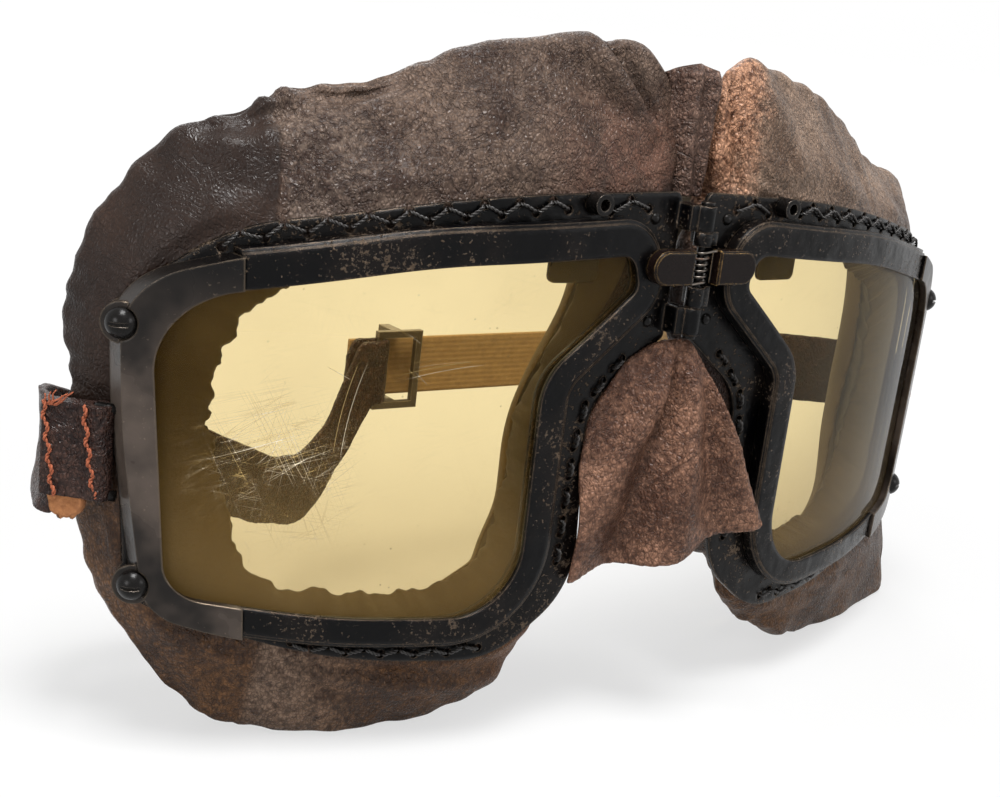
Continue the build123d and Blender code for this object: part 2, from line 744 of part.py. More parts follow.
def make_buckle():
    """A frame with a round bar for the leather, and two posts that hold the keeper behind the elastic."""
    inner_side = buckle_x - buckle_width + buckle_bar / 2
    half = buckle_thick / 2
    height = buckle_top - buckle_bottom
    body = slab(
        inner_side - buckle_bar, buckle_x + buckle_bar / 2, buckle_y - half, buckle_y + half,
        buckle_bottom, buckle_top,
    )
    body -= slab(
        inner_side, buckle_x + buckle_bar, buckle_y - buckle_thick, buckle_y + buckle_thick,
        buckle_bottom + buckle_bar, buckle_top - buckle_bar,
    )
    body += Pos(buckle_x, buckle_y, (buckle_top + buckle_bottom) / 2) * Cylinder(half, height - buckle_bar)
    back = elastic_front + elastic_thick + elastic_gap + tooth_height + keeper_thick
    for low in (buckle_bottom, buckle_top - buckle_bar):
        body += slab(
            keeper_x - keeper_width / 2, keeper_x + keeper_width / 2, buckle_y, back, low, low + buckle_bar
        )
    return body


def make_keeper():
    """The toothed bar behind the elastic."""
    front = elastic_front + elastic_thick + elastic_gap
    low, high = buckle_bottom + buckle_bar + seat_gap, buckle_top - buckle_bar - seat_gap
    side = keeper_width / 2
    body = slab(
        keeper_x - side, keeper_x + side, front + tooth_height, front + tooth_height + keeper_thick, low, high
    )
    step = (high - low) / tooth_count
    for tooth in range(tooth_count):
        middle = low + step / 2 + tooth * step
        body += slab(
            keeper_x - side / 2, keeper_x + side / 2, front, front + 2 * tooth_height,
            middle - step / 4, middle + step / 4,
        )
    return body


def both_sides(name, piece):
    """The same piece on each side of the nose."""
    return {"right_" + name: piece, "left_" + name: mirror(piece, about=Plane.YZ)}


right_knuckles = [(knuckle_lower, -spring_room), (spring_room, knuckle_upper)]
left_knuckles = [(barrel_bottom, knuckle_lower), (knuckle_upper, barrel_top)]

nodes = {
    "right_mask_plate": make_plate(right_knuckles),
    "left_mask_plate": mirror(make_plate(left_knuckles), about=Plane.YZ),
    "hinge_pin": make_pin(),
    "hinge_spring": make_spring(),
    "nose_flap": make_flap(),
    "centre_gusset": make_gusset(),
    "right_strap_leather": make_right_end(),
    "left_strap_leather": mirror(make_left_end(), about=Plane.YZ),
    "elastic_band": make_elastic(),
    "strap_buckle": mirror(make_buckle(), about=Plane.YZ),
    "buckle_keeper": mirror(make_keeper(), about=Plane.YZ),
}
nodes |= both_sides("lens", make_lens())
nodes |= both_sides("lens_rim", make_rim())
nodes |= both_sides("end_clamp", make_clamp())
nodes |= both_sides("clamp_screws", Compound([make_screw(shares) for shares in screw_shares]))
nodes |= both_sides("lens_clip", make_clip())
nodes |= both_sides("screen_socket", make_socket())
nodes |= both_sides("stop_tab", make_stop_tab())
nodes |= both_sides("plate_rivets", Compound([make_rivet(*place(shares)) for shares in rivet_shares]))
nodes |= both_sides("lacing", Compound([make_stitch(*row) for row in lace_rows()]))
nodes |= both_sides("strap_bar", make_strap_bar())
nodes |= both_sides("strap_tab", make_strap_tab())
for name, section in (("leather_mask", mask_section), ("mask_lining", lining_section)):
    nodes["right_" + name] = ring(section, right_mask_shares)
    nodes["left_" + name] = mirror(ring(section), about=Plane.YZ)

corners = [tuple(corner) for piece in nodes.values() for corner in piece.tessellate(soft_gap)[0]]
low, high = Vector(*map(min, *corners)), Vector(*map(max, *corners))
foot = Pos(-(low.X + high.X) / 2, -(low.Y + high.Y) / 2, -low.Z)
print("size", high - low)
print("moved by", foot.position)
for name, piece in nodes.items():
    solids = [foot * solid for solid in piece.solids()]
    export_step(solids[0] if len(solids) == 1 else Compound(solids), "parts/" + name + ".step")
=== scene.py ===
from math import atan2, cos, exp, hypot, pi, radians, sin

import bmesh
import bpy
from mathutils import Matrix, Vector, noise


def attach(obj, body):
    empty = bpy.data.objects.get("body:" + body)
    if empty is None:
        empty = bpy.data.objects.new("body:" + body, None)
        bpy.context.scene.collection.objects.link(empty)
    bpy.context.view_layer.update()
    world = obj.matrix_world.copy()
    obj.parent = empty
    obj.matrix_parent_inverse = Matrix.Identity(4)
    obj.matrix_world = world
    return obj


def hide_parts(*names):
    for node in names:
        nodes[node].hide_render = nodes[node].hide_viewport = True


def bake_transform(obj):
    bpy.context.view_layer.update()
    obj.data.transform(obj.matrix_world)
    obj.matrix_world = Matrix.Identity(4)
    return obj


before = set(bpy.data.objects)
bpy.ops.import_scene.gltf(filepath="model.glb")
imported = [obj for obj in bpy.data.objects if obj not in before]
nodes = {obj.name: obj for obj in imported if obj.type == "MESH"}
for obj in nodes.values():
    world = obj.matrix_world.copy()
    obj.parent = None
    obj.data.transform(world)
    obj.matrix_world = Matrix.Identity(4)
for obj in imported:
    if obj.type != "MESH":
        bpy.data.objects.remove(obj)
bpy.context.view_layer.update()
scene = bpy.context.scene


# Camera. It stands to the goggles' left and a little above them, as in the photograph.
# The lens and the place are those that fit the outlines of both eyepieces.
camera_data = bpy.data.cameras.new("camera")
camera_data.sensor_width = 36
camera_data.lens = 54
camera_data.clip_start = 0.01
camera = bpy.data.objects.new("camera", camera_data)
scene.collection.objects.link(camera)
camera_right = Vector((0.81461, -0.56860, 0.11449))
camera_down = Vector((-0.05657, -0.27434, -0.95997))
camera_ahead = Vector((0.57724, 0.77552, -0.25564))
camera_place = Vector((-0.16211, -0.2, 0.11351))
camera.matrix_world = Matrix.Translation(camera_place) @ Matrix((
    (camera_right.x, -camera_down.x, -camera_ahead.x, 0),
    (camera_right.y, -camera_down.y, -camera_ahead.y, 0),
    (camera_right.z, -camera_down.z, -camera_ahead.z, 0),
    (0, 0, 0, 1),
))
scene.camera = camera


# Finishes are written as expressions on sockets, and each finish is one material.
# The first one is the white paper that the goggles stand on.
def tone(red, green, blue):
    """A colour as it looks on a screen, from 0 to 255, turned into the light that a shader takes."""
    return tuple(
        value / 255 / 12.92 if value < 10.3 else ((value / 255 + 0.055) / 1.055) ** 2.4
        for value in (red, green, blue)
    ) + (1.0,)


class Amount:
    """One output of a node, so that shader maths reads as Python."""

    def __init__(self, finish, output):
        self.finish = finish
        self.output = output

    def maths(self, operation, *values, clamp=False):
        sockets = dict(enumerate(values))
        return self.finish.node("Math", {"operation": operation, "use_clamp": clamp}, sockets)

    def __add__(self, other):
        return self.maths("ADD", self, other)

    def __sub__(self, other):
        return self.maths("SUBTRACT", self, other)

    def __rsub__(self, other):
        return self.maths("SUBTRACT", other, self)

    def __mul__(self, other):
        return self.maths("MULTIPLY", self, other)

    def __pow__(self, other):
        return self.maths("POWER", self, other)

    def __abs__(self):
        return self.maths("ABSOLUTE", self)

    __radd__ = __add__
    __rmul__ = __mul__

    def clipped(self):
        """The same, but never below 0 or above 1."""
        return self.maths("ADD", self, 0, clamp=True)

    def larger(self, other):
        return self.maths("MAXIMUM", self, other)


class Finish:
    """A material, or the room's light, whose nodes are made by expressions."""

    def __init__(self, name, holders=bpy.data.materials):
        self.holder = holders.new(name)
        self.holder.use_nodes = True
        self.tree = self.holder.node_tree
        self.tree.nodes.clear()

    def node(self, kind, settings=None, sockets=None, output=0):
        """One output of a new node, whose sockets take values or other outputs."""
        made = self.tree.nodes.new("ShaderNode" + kind)
        for name, value in (settings or {}).items():
            if name == "stops":
                ramp = made.color_ramp.elements
                while len(ramp) < len(value):
                    ramp.new(0.5)
                for stop, (place, colour) in zip(ramp, value):
                    stop.position = place
                    stop.color = colour
            else:
                setattr(made, name, value)
        for name, value in (sockets or {}).items():
            if isinstance(value, Amount):
                self.tree.links.new(value.output, made.inputs[name])
            else:
                made.inputs[name].default_value = value
        return Amount(self, made.outputs[output])

    def place(self):
        """The place on the piece, in metres."""
        return self.node("TexCoord", output="Object")

    def axis(self, name):
        """The place along one axis."""
        return self.node("SeparateXYZ", {}, {0: self.place()}, name)

    def scaled(self, x, y, z):
        """The place, stretched along the axes so that a pattern gets finer."""
        return self.node("Mapping", {}, {"Vector": self.place(), "Scale": (x, y, z)})

    def noise(self, scale, detail=3.0, roughness=0.55, at=None, distortion=0.0):
        """Cloudy values about 0.5, with scale patches in a metre."""
        sockets = {"Vector": at or self.place(), "Scale": scale, "Detail": detail}
        sockets.update({"Roughness": roughness, "Distortion": distortion})
        return self.node("TexNoise", {}, sockets, "Fac")

    def cells(self, scale, feature="F1", at=None, randomness=1.0):
        """The distance from the middle or the edge of scattered cells."""
        sockets = {"Vector": at or self.place(), "Scale": scale, "Randomness": randomness}
        return self.node("TexVoronoi", {"feature": feature}, sockets, "Distance")

    def between(self, value, low, high, start=0.0, end=1.0):
        """A smooth change from start to end while the value goes from low to high."""
        sockets = {"Value": value, "From Min": low, "From Max": high, "To Min": start, "To Max": end}
        return self.node("MapRange", {"interpolation_type": "SMOOTHSTEP"}, sockets)

    def mix(self, factor, first, second):
        """The first colour at factor 0 and the second at factor 1."""
        return self.node("Mix", {"data_type": "RGBA"}, {0: factor, 6: first, 7: second}, 2)

    def rounded(self, radius):
        """The way the surface would face if its sharp edges were rounded off."""
        return self.node("Bevel", {"samples": 6}, {"Radius": radius})

    def edges(self, radius):
        """How sharply the surface turns within a radius, which is where a finish wears off."""
        sockets = {0: self.rounded(radius), 1: self.node("NewGeometry", output="Normal")}
        return 1 - self.node("VectorMath", {"operation": "DOT_PRODUCT"}, sockets, "Value")

    def seen(self):
        """1 for what the camera sees, also in gloss and through a pane, and 0 for light on the goggles."""
        camera_ray, glossy_ray, through_ray = (
            self.node("LightPath", output=f"Is {kind} Ray") for kind in ("Camera", "Glossy", "Transmission")
        )
        return camera_ray.larger(glossy_ray).larger(through_ray)

    def bump(self, height, distance, strength=1.0, normal=None):
        """The way the surface would face if it rose by height times distance."""
        sockets = {"Height": height, "Distance": distance, "Strength": strength}
        if normal:
            sockets["Normal"] = normal
        return self.node("Bump", {}, sockets)

    def surface(self, **looks):
        """The shader, whose sockets are given by name with _ for each space."""
        sockets = {name.replace("_", " "): value for name, value in looks.items()}
        return self.node("BsdfPrincipled", {}, sockets)

    def finished(self, shader, output="OutputMaterial"):
        """Ends the tree with the shader and gives back the material."""
        end = self.tree.nodes.new("ShaderNode" + output)
        self.tree.links.new(shader.output, end.inputs["Surface"])
        return self.holder

    def coat(self, **looks):
        """The material with one plain shader."""
        return self.finished(self.surface(**looks))


# Table and room. The goggles stand on white paper under soft lamps, in front of a white wall.
# The paper keeps their shadow, and away from them it is as white as the wall.
paper = Finish("white_paper")
sheet = paper.surface(Base_Color=(0.6, 0.6, 0.6, 1), Roughness=1.0, Specular_IOR_Level=0.0)
glow = paper.node("Emission", {}, {"Color": (1, 1, 1, 1), "Strength": 1.03})
far_off = paper.node("VectorMath", {"operation": "LENGTH"}, {0: paper.place()}, "Value")
shadow_reach, white_from = 0.07, 0.24
whiteness = paper.seen() * paper.between(far_off, shadow_reach, white_from, 0.62, 1.0)
floor_edge = bmesh.new()
bmesh.ops.create_grid(floor_edge, x_segments=2, y_segments=2, size=8)
floor_mesh = bpy.data.meshes.new("floor")
floor_edge.to_mesh(floor_mesh)
floor_edge.free()
white_paper = paper.finished(paper.node("MixShader", {}, {0: whiteness, 1: sheet, 2: glow}))
floor_mesh.materials.append(white_paper)
floor = bpy.data.objects.new("floor", floor_mesh)
floor.location.z = -0.0003
scene.collection.objects.link(floor)
room = Finish("room", bpy.data.worlds)
room_light = room.node("Background", {}, {"Color": (1, 0.985, 0.96, 1), "Strength": 0.25})
room_white = room.node("Background", {}, {"Color": (1, 1, 1, 1), "Strength": 1.0})
room_mix = room.node("MixShader", {}, {0: room.seen(), 1: room_light, 2: room_white})
scene.world = room.finished(room_mix, "OutputWorld")


def lamp(name, place, target, size, power, colour=(1, 1, 1)):
    """A soft square lamp that points at a place on the goggles."""
    data = bpy.data.lights.new(name, "AREA")
    data.shape = "SQUARE"
    data.size = size
    data.energy = power
    data.color = colour
    made = bpy.data.objects.new(name, data)
    made.location = place
    made.rotation_euler = (Vector(target) - Vector(place)).to_track_quat("-Z", "Y").to_euler()
    scene.collection.objects.link(made)


middle = (0, 0, 0.05)
lamp("top_lamp", (-0.12, -0.16, 0.7), middle, 0.26, 7.0)
lamp("left_lamp", (-0.8, -0.3, 0.3), middle, 0.3, 1.8)
lamp("right_lamp", (0.5, -0.7, 0.35), middle, 0.3, 1.4)
lamp("back_lamp", (0.3, 0.7, 0.5), middle, 0.4, 1.5)
scene.view_settings.view_transform = "Standard"


def wear(name, finish):
    """Gives a CAD piece its finish."""
    slots = nodes[name].data.materials
    slots.clear()
    slots.append(finish)


# Lens rims and mask plates. They are pressed brass, stoved black, and the enamel has worn
# dull and brown on the edges. The rims hold the panes, and the plates carry the leather.
enamel = Finish("worn_black_enamel")
chips = enamel.noise(520, 6, 0.75)
patches = enamel.noise(75, 5, 0.65)
flakes = enamel.noise(230, 5, 0.8)
waves = enamel.noise(150, 2, 0.5)
specks = enamel.between(enamel.noise(1500, 3, 0.65) + patches * 0.5, 0.86, 0.94)
edge = enamel.edges(0.0007)
rubbed = enamel.between(edge * 1.6 + chips * 0.9 + patches * 0.55, 1.0, 1.22)
flaked = enamel.between(flakes + patches * 0.55, 0.91, 0.98)
dull = enamel.between(patches, 0.42, 0.62)
black = enamel.mix(dull * 0.8, tone(2, 2, 3), tone(19, 15, 13))
brown = enamel.mix(chips, tone(50, 40, 33), tone(136, 116, 96))
bared = (rubbed * 0.75 + specks * 0.6 + flaked * 0.6).clipped()
dents = chips * 0.6 + specks * 0.5 - flaked * 0.5 + waves * 3.2
black_enamel = enamel.coat(
    Base_Color=enamel.mix(bared, black, brown),
    Metallic=bared * 0.5,
    Roughness=enamel.between(patches, 0.35, 0.7, 0.08, 0.26) + bared * 0.25,
    Specular_IOR_Level=0.13,
    Normal=enamel.bump(dents, 0.0002, 0.8, enamel.rounded(0.0012)),
)
for side in ("left_", "right_"):
    wear(side + "lens_rim", black_enamel)
    wear(side + "mask_plate", black_enamel)


# End clamps. Each is a pressed channel that slides over the outer end of the rim.
# Its satin black is greyer and patchy low down, and it is held by the two screws.
satin = Finish("satin_grey_black")
haze = satin.noise(45, 4, 0.6)
grit = satin.noise(900, 3, 0.6)
satin_edge = satin.between(satin.edges(0.0006) * 1.5 + grit * 0.5, 0.42, 0.6)
# The satin is black at the top and greyer towards the bottom.
satin_greyer_below = satin.between(satin.axis("Z") + haze * 0.02, 0.086, 0.07)
satin_grey = satin.mix(satin.between(haze, 0.35, 0.65), tone(22, 19, 17), tone(84, 74, 67))
satin_black = satin.mix(satin_greyer_below, tone(7, 6, 6), satin_grey)
satin_specks = satin.between(satin.noise(1400, 3, 0.7) + haze * 0.3, 0.8, 0.88)
satin_finish = satin.coat(
    Base_Color=satin.mix((satin_edge * 0.7 + satin_specks * 0.5).clipped(), satin_black, tone(118, 104, 88)),
    Metallic=satin_edge * 0.5,
    Roughness=satin.between(haze, 0.3, 0.7, 0.16, 0.38),
    Specular_IOR_Level=0.18,
    Normal=satin.bump(grit * 0.6 + satin.noise(170, 2) * 2, 0.0001, 0.6, satin.rounded(0.0005)),
)
for side in ("left_", "right_"):
    wear(side + "end_clamp", satin_finish)
    wear(side + "lens_clip", satin_finish)


# Screws, sockets, rivets and the hinge pin are blacked steel.
# Handling has polished the heads, and grease has stayed in the slots.
steel = Finish("blacked_steel")
steel_spots = steel.noise(700, 4, 0.65)
steel_edge = steel.between(steel.edges(0.0004) * 1.5 + steel_spots * 0.5, 0.5, 0.75)
blacked_steel = steel.coat(
    Base_Color=steel.mix(steel_edge, tone(16, 14, 13), tone(96, 88, 80)),
    Metallic=steel_edge * 0.6 + 0.2,
    Roughness=steel.between(steel_spots, 0.3, 0.7, 0.14, 0.34),
    Specular_IOR_Level=0.18,
    Normal=steel.bump(steel_spots, 0.00005, 0.5, steel.rounded(0.0003)),
)
for name in ("clamp_screws", "screen_socket", "plate_rivets"):
    wear("left_" + name, blacked_steel)
    wear("right_" + name, blacked_steel)
wear("hinge_pin", blacked_steel)


# Hinge spring. It is hard drawn wire, wound round the pin between the stop tabs.
# Its oil has gone dark, and there is a little rust.
spring = Finish("oiled_spring_wire")
rust = spring.between(spring.noise(900, 4), 0.5, 0.7)
oiled_wire = spring.coat(
    Base_Color=spring.mix(rust, tone(92, 86, 80), tone(88, 58, 38)),
    Metallic=1 - rust * 0.8,
    Roughness=rust * 0.3 + 0.3,
)
wear("hinge_spring", oiled_wire)


# Stop tabs. They are brass tongues beside the hinge, blacked when new.
# Fingers have worn their edges back to brown metal.
brass = Finish("worn_black_brass")
brass_chips = brass.noise(650, 5, 0.7)
brass_edge = brass.between(brass.edges(0.0005) * 2.6 + brass_chips * 0.9, 0.72, 0.9)
worn_brass = brass.coat(
    Base_Color=brass.mix(brass_edge, tone(18, 11, 9), tone(168, 134, 82)),
    Metallic=brass_edge * 0.7,
    Roughness=brass.between(brass_chips, 0.3, 0.7, 0.12, 0.32),
    Specular_IOR_Level=0.12,
    Normal=brass.bump(brass_chips, 0.00008, 0.6, brass.rounded(0.0005)),
)
for side in ("left_", "right_"):
    wear(side + "stop_tab", worn_brass)


# Lenses. They are curved amber panes, rubbed and scratched in use.
# The tint takes out blue, the pane is browner towards the bottom, and a patch on the left is worn.
amber = Finish("amber_pane")
facing = amber.node("LayerWeight", {}, {"Blend": 0.5}, "Facing")
gloss = facing ** 3 * 0.85 + 0.02
cloud = amber.noise(26, 4, 0.55)
grit = amber.between(amber.cells(430), 0.1, 0.04) * amber.between(amber.noise(90), 0.5, 0.65)
worn_patch = {0: amber.place(), 1: (-0.0645, -0.0165, 0.0452)}
from_patch = amber.node("VectorMath", {"operation": "DISTANCE"}, worn_patch, "Value")
near_rub = amber.between(from_patch, 0.016, 0.001)
hairs = 0.0
for turn, scale in ((0.15, 620), (-0.3, 760), (1.1, 560), (1.75, 700), (-0.65, 600), (2.8, 660)):
    turned = {"Vector": amber.place(), "Rotation": (0, turn, 0), "Scale": (30, 30, 1)}
    along_hair = amber.node("Mapping", {"vector_type": "TEXTURE"}, turned)
    thin = amber.noise(scale, 1, 0.4, at=along_hair, distortion=0.1)
    hairs = amber.between(abs(thin - 0.53), 0.009, 0.002) + hairs
scratches = hairs * (near_rub * 0.5 + 0.015) * amber.between(amber.noise(130), 0.4, 0.58)
# Single scratches: place across and up, turn, half their length and how white they are
long_scratches = [
    (-0.0558, 0.0543, -1.4, 0.0085, 0.54), (-0.0427, 0.0609, -0.2, 0.0068, 0.48),
    (-0.0432, 0.0619, -0.13, 0.0052, 0.27), (-0.0572, 0.0597, 0.5, 0.0014, 0.48),
    (-0.0462, 0.0596, 0.75, 0.0016, 0.42), (-0.0478, 0.0655, 0.6, 0.0014, 0.36),
    (-0.0610, 0.0470, -0.5, 0.005, 0.36),
]
scratch_bow = 9
for x, z, turn, half, strength in long_scratches:
    line = {"Vector": amber.place(), "Location": (x, 0, z), "Rotation": (0, turn, 0)}
    spot = amber.node("Mapping", {"vector_type": "TEXTURE"}, line)
    along = amber.node("SeparateXYZ", {}, {0: spot}, "X")
    aside = amber.node("SeparateXYZ", {}, {0: spot}, "Z") + along * along * scratch_bow
    stroke = amber.between(abs(along), half, half * 0.6, 0, strength)
    scratches = scratches + amber.between(abs(aside), 0.00008, 0.00002) * stroke
# The pane gets browner towards the bottom.
browner_below = amber.between(amber.axis("Z") + cloud * 0.012, 0.058, 0.034, 0, 0.16)
clouding = amber.between(cloud, 0.35, 0.8, 0.02, 0.1) + browner_below + grit * 0.3 + scratches
tinted = amber.node("BsdfTransparent", {}, {"Color": (0.98, 0.885, 0.65, 1)})
film = amber.surface(
    Base_Color=amber.mix(scratches.clipped(), tone(146, 120, 72), tone(255, 246, 222)),
    Roughness=0.5,
    Specular_IOR_Level=0.3,
)
shine = amber.surface(Base_Color=(0.02, 0.02, 0.02, 1), Roughness=0.03, Specular_IOR_Level=1.0)
dusty = amber.node("MixShader", {}, {0: clouding.clipped(), 1: tinted, 2: film})
pane = amber.node("MixShader", {}, {0: gloss, 1: dusty, 2: shine})
amber_pane = amber.finished(pane)
wear("left_lens", amber_pane)
wear("right_lens", amber_pane)


# Buckle. It is a stamped steel frame, plated and gone dull, that slides on the elastic.
# A toothed bar behind the web holds it.
plated = Finish("dull_plated_steel")
plate_spots = plated.noise(500, 4, 0.6)
plate_edge = plated.between(plated.edges(0.0005) * 1.5 + plate_spots * 0.5, 0.45, 0.7)
dull_plate = plated.coat(
    Base_Color=plated.mix(plate_edge, tone(96, 88, 78), tone(160, 150, 136)),
    Metallic=0.85,
    Roughness=plated.between(plate_spots, 0.3, 0.7, 0.3, 0.5),
    Normal=plated.rounded(0.0003),
)
wear("strap_buckle", dull_plate)
wear("buckle_keeper", dull_plate)


# Leather masks. Each is a thin brown hide, drawn round a soft ring and rolled at its hem.
# It is sewn to the plate, so it puckers there, and a darker piece is joined on at the left temple.
def place(x, y, z):
    """A place in the goggles' own millimetres, measured from the middle of the hinge, in metres."""
    return Vector((x - 0.013, y - 31.512, z + 76.9)) * 0.001


face_front, face_flat, face_radius = 1.7, 15.0, 122.0


def face_point(along, depth, height):
    """A place by its distance along the curved face, its depth behind it and its height."""
    turn = max(along - face_flat, 0) / face_radius
    radius = face_radius - depth
    across = min(along, face_flat) + radius * sin(turn)
    return Vector((across, face_front + face_radius - radius * cos(turn), height))


# Each row is an angle round the eye, then seven shares: the seat inside the plate's edge, that edge,
# the hem, the hem's depth and its roll, the inner edge and its depth. Depths are shares of the mask's
# depth, and the others are shares of half the opening.
mask_rows = [
    (0, 1.040, 1.095, 1.35, 0.62, 0.30, 0.72, 0.75), (24, 1.140, 1.190, 1.51, 0.67, 0.30, 0.76, 0.71),
    (48, 1.090, 1.215, 1.67, 0.83, 0.33, 0.83, 0.75), (69, 0.955, 1.155, 1.72, 0.96, 0.35, 0.82, 0.92),
    (90, 0.970, 1.175, 1.80, 1.17, 0.35, 0.91, 1.00), (108, 1.060, 1.315, 2.13, 1.08, 0.35, 1.03, 1.00),
    (124, 1.270, 1.560, 2.42, 0.75, 0.35, 1.21, 0.83), (137, 1.580, 1.780, 2.07, 0.75, 0.25, 1.37, 0.75),
    (154, 1.040, 1.460, 1.50, 0.75, 0.25, 1.01, 0.75), (170, 0.800, 1.160, 1.24, 0.83, 0.25, 0.80, 0.83),
    (192, 0.785, 1.060, 1.16, 0.86, 0.25, 0.79, 0.92), (213, 0.915, 1.250, 1.35, 0.86, 0.30, 0.92, 1.00),
    (231, 1.110, 1.370, 1.54, 0.67, 0.50, 1.08, 1.00), (246, 1.155, 1.370, 1.71, 0.62, 0.70, 1.04, 1.00),
    (262, 1.060, 1.280, 1.75, 0.67, 0.75, 1.00, 1.00), (278, 1.050, 1.215, 1.76, 0.67, 0.75, 0.98, 1.00),
    (293, 1.095, 1.215, 1.78, 0.67, 0.70, 1.00, 0.92), (308, 1.210, 1.285, 1.62, 0.58, 0.50, 0.91, 0.88),
    (329, 1.160, 1.230, 1.45, 0.58, 0.33, 0.75, 0.83),
]
eye_along, eye_height, eye_half_width, eye_half_height = 52.0, -27.0, 34.7, 28.5
mask_depth, plate_back, mask_crown = 12.0, 3.75, 3.0
seat_depth = plate_back + 0.3
foot_height = -76.9
seat_points, front_points, roll_points, back_points, inner_points = 5, 34, 14, 26, 16
suede_starts = seat_points + front_points + roll_points - 1


# Rows that differ on the right, where the cheek pad is pulled out and the brow pad is shorter
right_rows = {
    48: (48, 1.090, 1.215, 1.65, 0.83, 0.33, 0.83, 0.75),
    69: (69, 0.955, 1.155, 1.56, 0.96, 0.35, 0.82, 0.92),
    90: (90, 0.970, 1.175, 1.74, 1.17, 0.35, 0.91, 1.00),
    108: (107, 1.060, 1.315, 2.04, 1.08, 0.35, 1.03, 1.00),
    124: (121, 1.240, 1.520, 2.31, 0.75, 0.30, 1.19, 0.83),
    137: (135, 1.550, 1.700, 1.80, 0.75, 0.20, 1.35, 0.75),
    231: (231, 1.110, 1.180, 1.27, 0.62, 0.35, 1.08, 1.00),
    246: (246, 1.155, 1.260, 1.44, 0.60, 0.40, 1.04, 1.00),
    262: (262, 1.060, 1.240, 1.60, 0.60, 0.50, 1.00, 1.00),
    278: (278, 1.050, 1.215, 1.80, 0.55, 0.55, 0.98, 1.00),
    293: (293, 1.095, 1.230, 2.00, 0.25, 0.55, 1.00, 0.92),
    308: (308, 1.210, 1.400, 2.13, -0.15, 0.50, 0.91, 0.88),
    329: (329, 1.160, 1.330, 1.62, 0.30, 0.45, 0.75, 0.83),
}
side_rows = {-1: mask_rows, 1: [right_rows.get(row[0], row) for row in mask_rows]}


def mask_row(angle, side):
    """The row of shares at any angle, on a smooth curve through the table."""
    angle %= 360
    rows = side_rows[side]
    count = len(rows)
    here = max(index for index in range(count) if rows[index][0] <= angle)
    four = []
    for step in (-1, 0, 1, 2):
        row = rows[(here + step) % count]
        four.append((row[0] + 360 * ((here + step) // count),) + row[1:])
    (a0, *r0), (a1, *r1), (a2, *r2), (a3, *r3) = four
    share = (angle - a1) / (a2 - a1)
    result = []
    for p0, p1, p2, p3 in zip(r0, r1, r2, r3):
        leave = (p2 - p0) / (a2 - a0) * (a2 - a1)
        arrive = (p3 - p1) / (a3 - a1) * (a2 - a1)
        square, cube = share**2, share**3
        result.append(
            (2 * cube - 3 * square + 1) * p1 + (cube - 2 * square + share) * leave
            + (3 * square - 2 * cube) * p2 + (cube - square) * arrive
        )
    return result


def arc(start, bulge, end, count):
    """Points on a parabola from start to end, without its last point."""
    points = []
    for index in range(count):
        share = index / count
        swell = 4 * share * (1 - share)
        points.append(tuple(a + (b - a) * share + c * swell for a, b, c in zip(start, end, bulge)))
    return points


def mask_profile(angle, side):
    """One section of the mask as reach and depth, from the plate over the hem to the inner edge."""
    inside, edge, hem, depth, roll, inner, inner_depth = mask_row(angle, side)
    round_eye = Vector((cos(radians(angle)), sin(radians(angle)), side))
    hem += 0.026 * noise.noise(round_eye * 5.5) + 0.028 * noise.noise(round_eye * 14)
    depth += 0.05 * noise.noise(round_eye * 4 + Vector((7, 0, 0)))
    scallop = 0.035 * noise.noise(round_eye * 9) + 0.022 * noise.noise(round_eye * 22)
    front = (hem, depth * mask_depth)
    back = (hem, (depth + roll) * mask_depth)
    inner_edge = (inner + scallop, inner_depth * mask_depth + 0.7 * noise.noise(round_eye * 12))
    points = arc((inside, seat_depth), (0, 0), (edge, seat_depth), seat_points)
    points += arc((edge, seat_depth), (0, -0.6), front, front_points)
    points += arc(front, (0.03, 0), back, roll_points)
    points += arc(back, (0, mask_crown), inner_edge, back_points)
    points += arc(inner_edge, (-0.01, 0), (inside, seat_depth), inner_points)
    return points


# Sections round the eye, how much of the folds reaches the back, and how far the foot gives
around = 400
back_lift = 0.35
foot_give = 0.6


def mask_form(side):
    """The rows of points of one mask, before its folds."""
    rings = []
    for step in range(around):
        angle = 360 * step / around
        line = []
        for reach, depth in mask_profile(angle, side):
            turn = radians(angle)
            along = eye_along + reach * eye_half_width * cos(turn)
            point = face_point(along, depth, eye_height + reach * eye_half_height * sin(turn))
            line.append(point)
        rings.append(line)
    return rings


